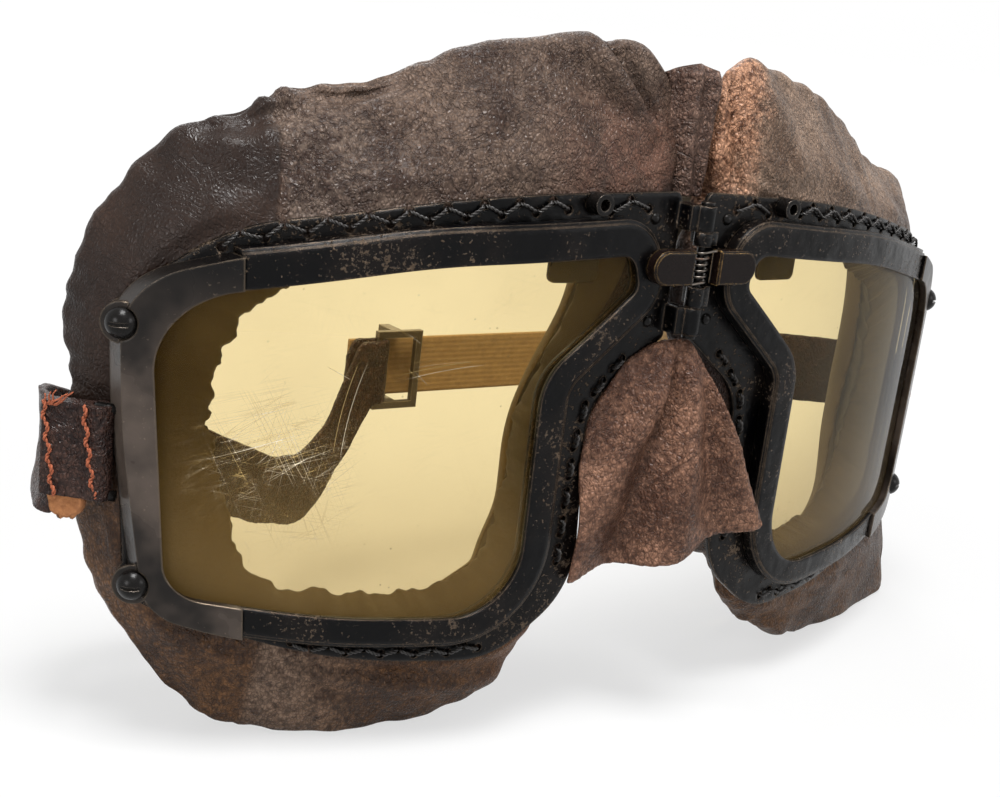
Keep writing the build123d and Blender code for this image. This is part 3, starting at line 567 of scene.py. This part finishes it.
# Creases seen from the front: start, end, width and depth in millimetres
creases = {
    -1: [
        ((-13.6, 31.5), (-6.0, 22), 1.1, 2.1), ((-18.0, 31.5), (-11.5, 24.0), 1.8, -0.9),
        ((-71, 15.5), (-47.5, 23.6), 1.5, 1.3), ((-24, 29), (-13, 22.5), 1.8, 0.6),
        ((-36, 27.5), (-27, 22), 1.6, 0.4), ((-60, 21.5), (-49, 22.5), 1.0, 0.7),
        ((-12, 14), (-4, 18), 0.7, 0.35), ((-14, 11.5), (-4, 13), 0.5, 0.3),
        ((-70, -60), (-52, -69), 1.2, 0.5), ((-60, -63.5), (-36, -67.5), 1.0, 0.5),
        ((-44, -66), (-24, -66.5), 1.6, 0.6), ((-34, -62), (-21, -60), 0.8, 0.5),
        ((-80, -52), (-72, -62), 0.9, 0.4),
        ((-92, -20), (-88, -40), 1.0, 0.25), ((-62.2, 27), (-66.4, 4), 0.45, 0.7),
    ],
    1: [
        ((10.9, 13.5), (9.9, 28.0), 0.6, 1.7), ((8.6, 12), (8.4, 27), 0.9, -0.7),
        ((13.0, 17), (12.0, 27), 0.6, 0.8), ((15.0, 20), (13.2, 28), 0.6, 0.35),
        ((9, 13), (17, 10.5), 0.5, 0.45), ((9.5, 15), (20, 12), 0.5, 0.4),
        ((22, 16), (14, 25), 1.4, 0.3), ((38, 8), (30, 20), 1.6, 0.3),
        ((50, 8), (46, 17), 1.2, 0.25), ((30, -62), (52, -67), 1.2, 0.6),
        ((44, -60), (66, -66), 0.9, 0.5), ((60, -58), (76, -62), 0.9, 0.5),
        ((34, -69), (56, -72), 1.2, 0.4),
    ],
}


def crease_lift(x, z, lines):
    """How far the creases lift the leather at a place seen from the front."""
    lift = 0.0
    for (x0, z0), (x1, z1), width, depth in lines:
        dx, dz = x1 - x0, z1 - z0
        length = hypot(dx, dz)
        share = ((x - x0) * dx + (z - z0) * dz) / length**2
        if -0.3 < share < 1.3:
            aside = ((x - x0) * dz - (z - z0) * dx) / length
            aside += 0.5 * width * noise.noise(Vector((x * 0.3, z * 0.3, 5)))
            fade = exp(-((max(0, -share, share - 1)) / 0.12) ** 2)
            bank = exp(-(((aside - 1.9 * width) / (1.5 * width)) ** 2))
            lift -= depth * (exp(-((aside / width) ** 2)) - 0.45 * bank) * fade
    return lift


def folds(point, angle, share, side):
    """How far the leather lifts in millimetres: pads, wrinkles, puckers at the sewing and creases."""
    at = Vector((point.x + 300 * (side > 0), point.y, point.z))
    broad = noise.noise(at * 0.06) * 0.9 + noise.noise(at * 0.14) * 0.5
    broad += 0.5 * noise.noise(Vector((radians(angle) * 13, 3, side))) * exp(-((share - 0.95) / 0.16) ** 2)
    ridge = 1 - abs(noise.noise(at * 0.22 + Vector((9, 0, 0)))) * 2.4
    fine = max(ridge, 0) ** 3 * -0.22 * (0.5 + noise.noise(at * 0.05))
    pucker = 0.2 * noise.noise(Vector((radians(angle) * 30, 0, side))) * exp(-((share - 0.1) / 0.09) ** 2)
    drawn = -0.5 * exp(-((share - 0.02) / 0.05) ** 2) + 0.35 * exp(-((share - 0.25) / 0.16) ** 2)
    lift = broad + fine + pucker + drawn + crease_lift(point.x, point.z, creases[side])
    by_tab = exp(-((point.z + 31.5) / 11) ** 2) * min(max((abs(point.x) - 79) / 6, 0), 1)
    return lift * (1 - by_tab) - 0.9 * by_tab


def built(name, points, faces):
    """A smooth shaded piece made from points and faces."""
    mesh = bpy.data.meshes.new(name)
    mesh.from_pydata(points, [], faces)
    mesh.polygons.foreach_set("use_smooth", [True] * len(mesh.polygons))
    mesh.update()
    piece = bpy.data.objects.new(name, mesh)
    scene.collection.objects.link(piece)
    return piece


def mask_leather(name, side):
    """One mask, lifted into its folds, with suede from the roll of its hem inwards."""
    rings = mask_form(side)
    count = len(rings[0])
    flat = [point for line in rings for point in line]
    faces = []
    for a in range(around):
        for b in range(count):
            c, d = (a + 1) % around, (b + 1) % count
            corners = (a * count + b, a * count + d, c * count + d, c * count + b)
            faces.append(corners if side > 0 else corners[::-1])
    piece = built(name, [(side * point.x, point.y, point.z) for point in flat], faces)
    mesh = piece.data
    lifts = []
    for index, vertex in enumerate(mesh.vertices):
        a, b = divmod(index, count)
        past_seat = b - seat_points
        held = 0.0 if past_seat < 0 else min(past_seat / 6, 1.0)
        lift = folds(vertex.co, 360 * a / around, past_seat / front_points, side) * held
        if b > suede_starts - 2:
            lift *= back_lift
        lifts.append(vertex.co + vertex.normal * lift)
    for vertex, lifted in zip(mesh.vertices, lifts):
        above_foot = lifted.z - foot_height - foot_give
        if above_foot < 0:
            lifted.z = foot_height + foot_give * exp(above_foot / foot_give)
        vertex.co = place(*lifted)
    inside_out = [int(suede_starts <= index % count) for index in range(len(faces))]
    mesh.polygons.foreach_set("material_index", inside_out)
    mesh.update()
    return piece


def worn_hide(name, colouring, glaze=0.0, smooth_where=None):
    """Grained leather. The colouring gets the finish, its patches, its grain and its creases, which it
    darkens as painted shade.
    """
    hide = Finish(name)
    patch = hide.noise(62, 5, 0.62)
    grain = hide.noise(1050, 2, 0.55, distortion=0.4)
    pebbles = hide.cells(1500, "DISTANCE_TO_EDGE", at=hide.scaled(1.25, 1.0, 0.8))
    creased = hide.between(pebbles, 0.2, 0.02)
    wrinkle = hide.between(abs(hide.noise(230, 4, 0.6, distortion=1.2) - 0.5), 0.07, 0.0)
    height = hide.between(pebbles, 0.0, 0.4) * 0.9 + grain * 0.5 - wrinkle * 0.9
    height = height + hide.noise(150, 3, 0.5) * 1.8
    if smooth_where:
        height = height * (1 - smooth_where(hide) * 0.65)
    dullness = hide.between(patch * 0.7 + grain * 0.5, 0.45, 0.8, 0.24 - glaze, 0.42 - glaze)
    return hide.coat(
        # The last value marks the grain's creases and wrinkles, where the colouring paints shade.
        Base_Color=colouring(hide, patch, grain, (creased * 0.75 + wrinkle * 0.35).clipped()),
        Roughness=dullness + creased * 0.2,
        Specular_IOR_Level=0.18,
        Normal=hide.bump(height, 0.00016, 0.9),
    )


def temple_panel(hide):
    """Where the smooth dark piece of leather beyond the seam is."""
    return hide.between(hide.axis("X") + (hide.axis("Z") - 0.09) * -0.17, -0.0638, -0.0643)


def mask_colour(hide, patch, grain, painted_crease_shade):
    """Grey brown on the brow, dark at the temple, warm on the cheeks and red at the right pad's end, with
    painted light and shade on the brow, painted shade by the hinge and in the creases, and a painted
    highlight by the seam.
    """
    across, height = hide.axis("X"), hide.axis("Z")
    light = hide.between(grain * 0.5 + patch * 0.7, 0.42, 0.9)
    rubbed = hide.mix(light, tone(54, 39, 32), tone(132, 111, 96))
    dark = hide.mix(hide.between(grain * 0.5 + patch * 0.6, 0.45, 0.9), tone(50, 34, 28), tone(92, 70, 58))
    warm = hide.mix(hide.between(grain * 0.6 + patch * 0.6, 0.45, 0.95), tone(58, 37, 22), tone(138, 97, 60))
    # The brow is lighter higher up and darker lower down: partly rubbed wear, partly painted top light and
    # painted shade towards the plate.
    brow = hide.between(height, 0.074, 0.09)
    low = hide.between(height, 0.05, 0.033)
    near_nose = hide.between(across, -0.032, -0.014)
    colour = hide.mix(brow * (0.85 - near_nose * 0.15) + patch * 0.1, dark, rubbed)
    colour = hide.mix(low * 0.9, colour, warm)
    plain = hide.mix(hide.between(patch, 0.3, 0.75), tone(29, 18, 13), tone(50, 35, 27))
    colour = hide.mix(temple_panel(hide) * (1 - low * 0.8) * 0.95, colour, plain)
    right = hide.between(across, 0.003, 0.005)
    worn_tan = hide.mix(light, tone(90, 69, 54), tone(176, 149, 128))
    colour = hide.mix(right * brow * 0.8, colour, worn_tan)
    red = hide.mix(hide.between(grain, 0.3, 0.7), tone(104, 66, 46), tone(214, 160, 126))
    ragged = hide.noise(330, 4, 0.7)
    worn_end = hide.between(across + (height - 0.105) * -0.3 + ragged * 0.012, 0.026, 0.019) * right * brow
    colour = hide.mix(worn_end * 0.85, colour, red)
    shy = near_nose * hide.between(across, 0.003, 0.0) * hide.between(height, 0.105, 0.094)
    colour = hide.mix(shy * hide.between(patch, 0.35, 0.62) * 0.5, colour, tone(112, 70, 54))
    # Painted shade: near black on the leather close to the hinge, between the two masks.
    painted_shade_by_hinge = hide.between(abs(across), 0.007, 0.004) * hide.between(height, 0.092, 0.086)
    colour = hide.mix(painted_shade_by_hinge, colour, tone(18, 12, 10))
    # Painted highlight: a pale patch on the brow just past the seam.
    painted_highlight_by_seam = hide.between(across, -0.042, -0.062) * hide.between(height, 0.099, 0.091)
    painted_highlight_by_seam = painted_highlight_by_seam * hide.between(across, -0.065, -0.063)
    colour = hide.mix(painted_highlight_by_seam * light * 0.6, colour, tone(168, 150, 136))
    # Painted shade in the grain's creases and wrinkles.
    return hide.mix(painted_crease_shade * 0.55, colour, tone(28, 20, 16))


mask_hide = worn_hide("mask_hide", mask_colour, smooth_where=temple_panel)
suede = Finish("suede_inside")
suede_nap = suede.noise(1500, 4, 0.65)
suede_patch = suede.noise(70, 4)
suede_inside = suede.coat(
    Base_Color=suede.mix(suede_patch * 0.7 + suede_nap * 0.3, tone(50, 43, 33), tone(96, 86, 68)),
    Roughness=0.95,
    Specular_IOR_Level=0.15,
    Sheen_Weight=0.25,
    Normal=suede.bump(suede_nap, 0.0002, 0.6),
)
sides = (("left", -1), ("right", 1))
for side_name, side in sides:
    mask = mask_leather(side_name + "_mask_leather", side)
    mask.data.materials.append(mask_hide)
    mask.data.materials.append(suede_inside)
    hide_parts(side_name + "_leather_mask")
    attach(mask, side_name + "_half")


# Soft copies. The linings, flap, tabs, strap ends and elastic are plain solids in the frame.
# Each is melted into a rounded form with small faces, which its folds then move.
def settled(piece):
    """The piece with its modifiers applied."""
    dressed = bpy.data.meshes.new_from_object(piece.evaluated_get(bpy.context.evaluated_depsgraph_get()))
    piece.modifiers.clear()
    piece.data = dressed
    return piece


def melted(name, node, voxel, rounds, lift=None, drawn=None):
    """A rounded copy of a plain solid, lifted along its normals and drawn aside by metres at each place."""
    mesh = nodes[node].data.copy()
    mesh.materials.clear()
    mesh.name = name
    piece = bpy.data.objects.new(name, mesh)
    scene.collection.objects.link(piece)
    remesh = piece.modifiers.new("melt", "REMESH")
    remesh.mode = "VOXEL"
    remesh.voxel_size = voxel
    remesh.use_smooth_shade = True
    smooth = piece.modifiers.new("round", "SMOOTH")
    smooth.iterations = rounds
    smooth.factor = 0.6
    dressed = settled(piece).data
    if lift:
        moved = [vertex.co + vertex.normal * lift(vertex.co) for vertex in dressed.vertices]
        for vertex, there in zip(dressed.vertices, moved):
            vertex.co = there + drawn(there) if drawn else there
    dressed.update()
    return piece


# Mask linings. Each is a padded ring of soft cloth behind the leather, where it meets the face.
# The right one is drawn in at its lower end, where the cheek pad is narrower.
felt = Finish("lining_cloth")
nap = felt.noise(1800, 5, 0.7)
blotch = felt.noise(60, 4)
lining_cloth = felt.coat(
    Base_Color=felt.mix(blotch, tone(96, 82, 62), tone(138, 120, 92)),
    Roughness=0.95,
    Specular_IOR_Level=0.15,
    Sheen_Weight=0.4,
    Normal=felt.bump(nap, 0.0003, 0.6),
)


def drawn_in(co):
    """Draws the right lining in under the narrower end of its cheek pad."""
    aside, up = co.x - 0.05, co.z - 0.0499
    turn = atan2(-up, -aside)
    inside = exp(-((turn - 0.95) / 0.45) ** 2) if aside < 0.03 and up < 0.01 else 0
    return Vector((-aside, 0, -up)) * 0.24 * inside


for side_name in ("left", "right"):
    pad = melted(
        side_name + "_padded_lining", side_name + "_mask_lining", voxel=0.00055, rounds=10,
        lift=lambda co: 0.00025 * noise.noise(co * 120) - 0.00005,
        drawn=drawn_in if side_name == "right" else None,
    )
    pad.data.materials.append(lining_cloth)
    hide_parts(side_name + "_mask_lining")
    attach(pad, side_name + "_half")


# Nose flap. It is one soft piece of the same hide that hangs from the hinge in folds,
# and its lower edge is cut on a slant.
def flap_colour(hide, patch, grain, painted_crease_shade):
    """Red brown, rubbed lighter in patches, with painted shade close under the hinge and in the creases."""
    light = hide.between(grain * 0.6 + patch * 0.7, 0.5, 0.95)
    colour = hide.mix(light, tone(76, 50, 38), tone(170, 127, 103))
    # Painted shade: near black at the top of the flap, close under the hinge.
    colour = hide.mix(hide.between(hide.axis("Z"), 0.0695, 0.0725), colour, tone(16, 11, 9))
    # Painted shade in the grain's creases and wrinkles.
    return hide.mix(painted_crease_shade * 0.5, colour, tone(34, 22, 17))


# Folds of the flap: direction from below the hinge, width, and how far forward in millimetres
flap_fans = [
    (-0.42, 0.09, 1.4), (-0.2, 0.09, -4.2), (-0.02, 0.11, 2.2),
    (0.2, 0.08, -1.4), (0.34, 0.07, 1.2), (0.47, 0.06, -1.0),
]
flap_top = 0.068


def flap_folds(co):
    """Folds that spread from below the hinge, and softer dents between them."""
    side, down = co.x - 0.001, flap_top - co.z
    fan = side / (down + 0.006)
    forward = 0.0
    for middle_fan, width, depth in flap_fans:
        aside = (fan - middle_fan + 0.03 * noise.noise(co * 60)) / width
        forward += depth * exp(-(aside**2)) * min(max(down - 0.001, 0) / 0.016, 1)
    forward += 0.9 * noise.noise(co * 70) + 0.25 * noise.noise(co * 260)
    return Vector((0, -0.001 * forward, 0))


flap_hide = worn_hide("flap_hide", flap_colour)
flap = melted(
    "nose_flap_leather", "nose_flap", voxel=0.00042, rounds=6, lift=lambda co: 0.0003, drawn=flap_folds,
)
flap.data.materials.append(flap_hide)
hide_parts("nose_flap")
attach(flap, "left_half")


# Centre gusset. A dark strip of leather closes the gap between the two masks,
# and it rolls forward between them.
def gusset_colour(hide, patch, grain, painted_crease_shade):
    """Grey brown, rubbed lighter in patches."""
    light = hide.between(grain * 0.6 + patch * 0.6, 0.5, 0.9)
    colour = hide.mix(light, tone(80, 59, 50), tone(166, 134, 117))
    # Painted shade in the grain's creases and wrinkles.
    return hide.mix(painted_crease_shade * 0.6, colour, tone(22, 15, 13))


def grid_faces(rows, columns):
    """The faces of a grid whose points run row by row."""
    wide = columns + 1
    firsts = (row * wide + column for row in range(rows) for column in range(columns))
    return [(first, first + 1, first + wide + 1, first + wide) for first in firsts]


def thickened(piece, thickness, offset):
    """A sheet made thick, on one side of its points for an offset of -1 and on both for 0."""
    shell = piece.modifiers.new("thickness", "SOLIDIFY")
    shell.thickness = thickness
    shell.offset = offset
    return settled(piece)


gusset_columns, gusset_rows = 40, 70
gusset_bottom, gusset_top = 9.9, 31.2
gusset_points = []
for row in range(gusset_rows + 1):
    up = row / gusset_rows
    for column in range(gusset_columns + 1):
        aside = column / gusset_columns
        ends = 2 * aside - 1
        x = 2.4 + 0.6 * up + ends * (4.2 + 1.4 * up)
        wave = 0.8 * noise.noise(Vector((ends * 2.2, 1, 1)))
        top = gusset_top - 2.6 * abs(ends) ** 3 - 1.9 * aside + wave
        z = gusset_bottom + up * (top - gusset_bottom)
        roll = (1 - ends**2) ** 0.7
        y = 12.1 - 3.9 * roll + 0.7 * sin(4.5 * aside * pi + 1.2 * up) * roll + 1.0 * max(up - 0.93, 0) / 0.07
        y += 0.35 * noise.noise(Vector((x * 0.4, 3, z * 0.25)))
        gusset_points.append(place(x, y, z))
gusset = built("gusset_leather", gusset_points, grid_faces(gusset_rows, gusset_columns))
gusset = thickened(gusset, 0.0009, offset=-1)
gusset.data.materials.append(worn_hide("gusset_hide", gusset_colour))
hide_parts("centre_gusset")
place(-1.5, 10, 20)
place(6.5, 10, 20)
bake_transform(gusset)


# Lacing. Waxed black thread sews the leather to the plate in a zigzag through two rows of holes.
# Each stitch is two plies laid round each other, from hole to hole.
opening_nose, opening_width, opening_bottom, opening_height = 12.4, 69.4, -55.2, 57.0
plate_front = 2.95
thread_radius, thread_rise, stitch_steps = 0.3, 1.35, 26
# Each line has its corners in shares of the opening, its stitches, how far the two rows of holes lie
# from it in millimetres, and 2 if every other stitch is behind the plate
lace_lines = [
    ([(-0.045, 1.128), (0.062, 1.118)], 2, 0.8, 1),
    (
        [(0.175, 1.120), (0.383, 1.095), (0.542, 1.068), (0.695, 1.032), (0.800, 1.002), (0.873, 0.970)],
        18, 0.8, 1,
    ),
    ([(0.686, -0.082), (0.499, -0.105), (0.354, -0.114), (0.268, -0.107)], 11, 0.45, 1),
    ([(0.085, 0.119), (0.079, 0.451), (0.062, 0.574), (-0.003, 0.672), (-0.055, 0.726)], 16, 0.0, 2),
]


def lace_stitches(shares, count, rise, every):
    """The two ends of each stitch of a row, seen from the front."""
    corners = [
        Vector((opening_nose + a * opening_width, opening_bottom + b * opening_height)) for a, b in shares
    ]
    runs = [(end - start).length for start, end in zip(corners, corners[1:])]
    ends = []
    for step in range(count + 1):
        left = sum(runs) * step / count
        here = 0
        while here < len(runs) - 1 and left > runs[here]:
            left -= runs[here]
            here += 1
        heading = (corners[here + 1] - corners[here]).normalized()
        spot = corners[here] + heading * left
        side = rise if step % 2 else -rise
        ends.append(Vector((spot.x - side * heading.y, spot.y + side * heading.x)))
    return list(zip(ends, ends[1:]))[::every]


def along_at(across, depth):
    """How far along the curved face a place seen from the front lies."""
    past = max(across - face_flat, 0)
    ahead = max((face_radius - depth) ** 2 - past**2, 0) ** 0.5
    return min(across, face_flat) + face_radius * atan2(past, ahead)


class Yarn:
    """Tubes that are gathered into one mesh."""

    def __init__(self):
        self.points = []
        self.faces = []

    def tube(self, line, radius, sides=6, taper=0.0):
        """A closed tube along a line, which can get thinner towards its end."""
        first = len(self.points)
        for index, spot in enumerate(line):
            ahead = (line[min(index + 1, len(line) - 1)] - line[max(index - 1, 0)]).normalized()
            across = ahead.orthogonal() if index == 0 else across - ahead * across.dot(ahead)
            across.normalize()
            up = ahead.cross(across)
            size = radius * (1 - taper * index / (len(line) - 1))
            for side in range(sides):
                turn = 2 * pi * side / sides
                self.points.append(spot + (across * cos(turn) + up * sin(turn)) * size)
        for ring_index in range(len(line) - 1):
            for side in range(sides):
                a = first + ring_index * sides + side
                b = first + ring_index * sides + (side + 1) % sides
                self.faces.append((a, b, b + sides, a + sides))
        self.faces.append(tuple(range(first, first + sides))[::-1])
        self.faces.append(tuple(range(len(self.points) - sides, len(self.points))))

    def twisted(self, line, radius, pitch, plies=2):
        """Plies laid round a line, once round in each pitch."""
        total = 0.0
        lines = [[] for ply in range(plies)]
        across = None
        for index, spot in enumerate(line):
            ahead = (line[min(index + 1, len(line) - 1)] - line[max(index - 1, 0)]).normalized()
            across = ahead.orthogonal() if across is None else across - ahead * across.dot(ahead)
            across.normalize()
            up = ahead.cross(across)
            total += (spot - line[index - 1]).length if index else 0
            for ply in range(plies):
                turn = 2 * pi * (total / pitch + ply / plies)
                lines[ply].append(spot + (across * cos(turn) + up * sin(turn)) * radius * 0.5)
        for ply_line in lines:
            self.tube(ply_line, radius * 0.56)

    def piece(self, name, finish):
        """The tubes as one piece."""
        made = built(name, [place(*point) for point in self.points], self.faces)
        made.data.materials.append(finish)
        return made


thread = Finish("waxed_black_thread")
lint = thread.noise(2600, 3)
black_thread = thread.coat(
    Base_Color=thread.mix(lint, tone(10, 9, 9), tone(44, 39, 36)),
    Roughness=0.42,
    Specular_IOR_Level=0.5,
    Normal=thread.bump(lint, 0.00006, 0.6),
)
for side_name, side in sides:
    yarn = Yarn()
    for line in lace_lines:
        for start, end in lace_stitches(*line):
            first = Vector((along_at(start.x, plate_front), start.y))
            last = Vector((along_at(end.x, plate_front), end.y))
            slack = noise.noise(Vector((first.x, first.y, side))) * 0.25
            stitch = []
            for step in range(stitch_steps + 1):
                share = step / stitch_steps
                reach = min(max((share - 0.1) / 0.8, 0), 1)
                lift = min(share, 1 - share) / 0.16
                bow = sin(pi * share)
                rise = thread_rise * min(lift, 1) ** 0.6 + 0.12 * bow
                spot = first + (last - first) * (0.12 + 0.76 * reach)
                there = face_point(spot.x, plate_front + 0.85 - rise, spot.y + slack * bow)
                stitch.append(Vector((side * there.x, there.y, there.z)))
            yarn.twisted(stitch, thread_radius, pitch=1.5)
    lacing = yarn.piece(side_name + "_lace_thread", black_thread)
    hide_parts(side_name + "_lacing")
    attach(lacing, side_name + "_half")


# Strap tabs. Each is pebbled brown hide, folded round the strap bar and sewn through with orange
# thread, whose ends have frayed. A tongue of raw suede shows below the fold.
def strap_colour(hide, patch, grain, painted_crease_shade):
    """Dark brown with little wear."""
    light = hide.between(grain * 0.8 + patch * 0.5, 0.5, 0.85)
    colour = hide.mix(light, tone(40, 25, 22), tone(76, 54, 46))
    # Painted shade in the grain's creases and wrinkles.
    return hide.mix(painted_crease_shade * 0.7, colour, tone(18, 11, 10))


strap_hide = worn_hide("strap_hide", strap_colour, glaze=0.1)
orange = Finish("orange_linen_thread")
linen = orange.noise(2400, 3)
orange_thread = orange.coat(
    Base_Color=orange.mix(linen, tone(112, 54, 34), tone(186, 102, 66)),
    Roughness=0.8,
    Normal=orange.bump(linen, 0.00008, 0.7),
)
raw = Finish("raw_suede")
raw_nap = raw.noise(1400, 4, 0.65)
raw_suede = raw.coat(
    Base_Color=raw.mix(raw_nap, tone(112, 66, 38), tone(190, 130, 82)),
    Roughness=0.95,
    Normal=raw.bump(raw_nap, 0.00025, 0.7),
)
bar_x, bar_y = 86.73, 27.50
tab_out = Vector((cos(radians(37.3)), sin(radians(37.3))))
tab_top, tab_bottom = -24.5, -38.5
tab_round, tab_half_thick = 2.0, 1.3
# Each seam is two ends, given by their distance out from the bar and their height
seams = [((1.0, tab_top), (-1.1, tab_bottom + 0.4)), ((6.9, tab_top), (5.0, tab_bottom))]
seam_stitches, stitch_parts = 9, 8
frayed_ends, frayed_parts = 6, 7
wire_bends = [(-3.6, 0), (-0.4, 0), (0, -0.5), (0, -12.4), (-0.4, -12.9), (-3.6, -12.9)]
wire_top, wire_radius = -25.05, 0.8
tongue_rows, tongue_columns = 12, 16


def on_tab(side, out, height, above=0.0):
    """A place on the front of a strap tab, by its distance out from the bar and its height."""
    round_bar = max(tab_round**2 - out**2, 0) ** 0.5
    front = max(tab_half_thick, round_bar) + above
    x = bar_x + tab_out.x * out + tab_out.y * front
    y = bar_y + tab_out.y * out - tab_out.x * front
    return Vector((side * x, y, height))


for side_name, side in sides:
    bar_place = place(side * bar_x, bar_y, (tab_top + tab_bottom) / 2)
    bar_out = Vector((side * tab_out.x, tab_out.y, 0))

    def snug(co):
        """Draws the loop closer to the clamp, over the bar."""
        out = (co - bar_place).dot(bar_out) / 0.0025
        return bar_out * -0.0009 * min(max(1 - out, 0), 1)

    def tucked(co):
        """Draws the start of the strap in behind the tab."""
        away = (co - bar_place - bar_out * 0.0075).length / 0.0095
        return bar_out * -0.0056 * exp(-(away**2))

    tab = melted(
        side_name + "_tab_leather", side_name + "_strap_tab", voxel=0.0002, rounds=4,
        lift=lambda co: 0.00012 * noise.noise(co * 700), drawn=snug,
    )
    tab.data.materials.append(strap_hide)
    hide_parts(side_name + "_strap_tab")
    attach(tab, side_name + "_strap")
    end = melted(
        side_name + "_strap_end", side_name + "_strap_leather", voxel=0.0003, rounds=4,
        lift=lambda co: 0.00015 * noise.noise(co * 400), drawn=tucked,
    )
    end.data.materials.append(strap_hide)
    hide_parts(side_name + "_strap_leather")
    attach(end, side_name + "_strap")
    sewing = Yarn()
    for (start_out, start_height), (stop_out, stop_height) in seams:
        for step in range(seam_stitches):
            line = []
            for part in range(stitch_parts + 1):
                share = (step + 0.04 + 0.92 * part / stitch_parts) / seam_stitches
                bow = sin(pi * part / stitch_parts)
                kink = 0.28 * (1 if step % 2 else -1) * bow
                out = start_out + (stop_out - start_out) * share + kink
                height = start_height + (stop_height - start_height) * share
                line.append(on_tab(side, out, height, 0.22 * bow - 0.02))
            sewing.twisted(line, 0.31, pitch=1.6)
    for index in range(frayed_ends):
        line = []
        for part in range(frayed_parts + 1):
            share = part / frayed_parts
            out = 6.6 - 0.5 * index * share - 0.3 * index
            wander = 0.5 * noise.noise(Vector((index * 3, share * 2, side)))
            height = tab_top - 0.6 + (1.6 + 0.35 * (index % 3)) * share
            line.append(on_tab(side, out + wander, height, 0.3 * share))
        sewing.tube(line, 0.2, sides=5, taper=0.5)
    stitches = sewing.piece(side_name + "_tab_stitches", orange_thread)
    wire = Yarn()
    wire.tube([
        Vector((side * (bar_x + tab_out.x * out), bar_y + tab_out.y * out, wire_top + down))
        for out, down in wire_bends
    ], wire_radius, sides=10)
    bar = wire.piece(side_name + "_strap_bar_wire", blacked_steel)
    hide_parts(side_name + "_strap_bar")
    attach(bar, side_name + "_half")
    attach(stitches, side_name + "_strap")
    tongue_points = []
    for row in range(tongue_rows + 1):
        drop = row / tongue_rows
        for column in range(tongue_columns + 1):
            aside = 2 * column / tongue_columns - 1
            width = (1 - max(drop - 0.25, 0) ** 2 * 1.5) ** 0.5 if drop < 1 else 0.3
            out = 3.3 + 2.6 * aside * width + 0.15 * noise.noise(Vector((aside * 3, drop * 3, 2)))
            height = tab_bottom + 0.3 - 3.6 * drop - 0.2 * noise.noise(Vector((aside * 4, drop, 8)))
            ripple = 0.25 * noise.noise(Vector((aside * 2, drop * 3, 4)))
            tongue_points.append(place(*on_tab(side, out, height, ripple - 1.0)))
    tongue = built(side_name + "_suede_tongue", tongue_points, grid_faces(tongue_rows, tongue_columns))
    tongue = thickened(tongue, 0.0011, offset=0)
    tongue.data.materials.append(raw_suede)
    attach(tongue, side_name + "_strap")


# Elastic. It is a woven web with rubber cores that slides through the buckle.
# Its weave is worn smooth, so its ribs hardly show.
web = Finish("woven_elastic")
ribs = web.node("TexWave", {"bands_direction": "Z"}, {"Vector": web.place(), "Scale": 330.0}, "Fac")
woven_web = web.coat(
    Base_Color=web.mix(ribs * 0.15 + web.noise(900, 3) * 0.7, tone(120, 94, 62), tone(182, 152, 110)),
    Roughness=0.9,
    Normal=web.bump(ribs, 0.00006, 0.4),
)
elastic = melted("elastic_web", "elastic_band", voxel=0.00028, rounds=3)
elastic.data.materials.append(woven_web)
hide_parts("elastic_band")
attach(elastic, "right_strap")
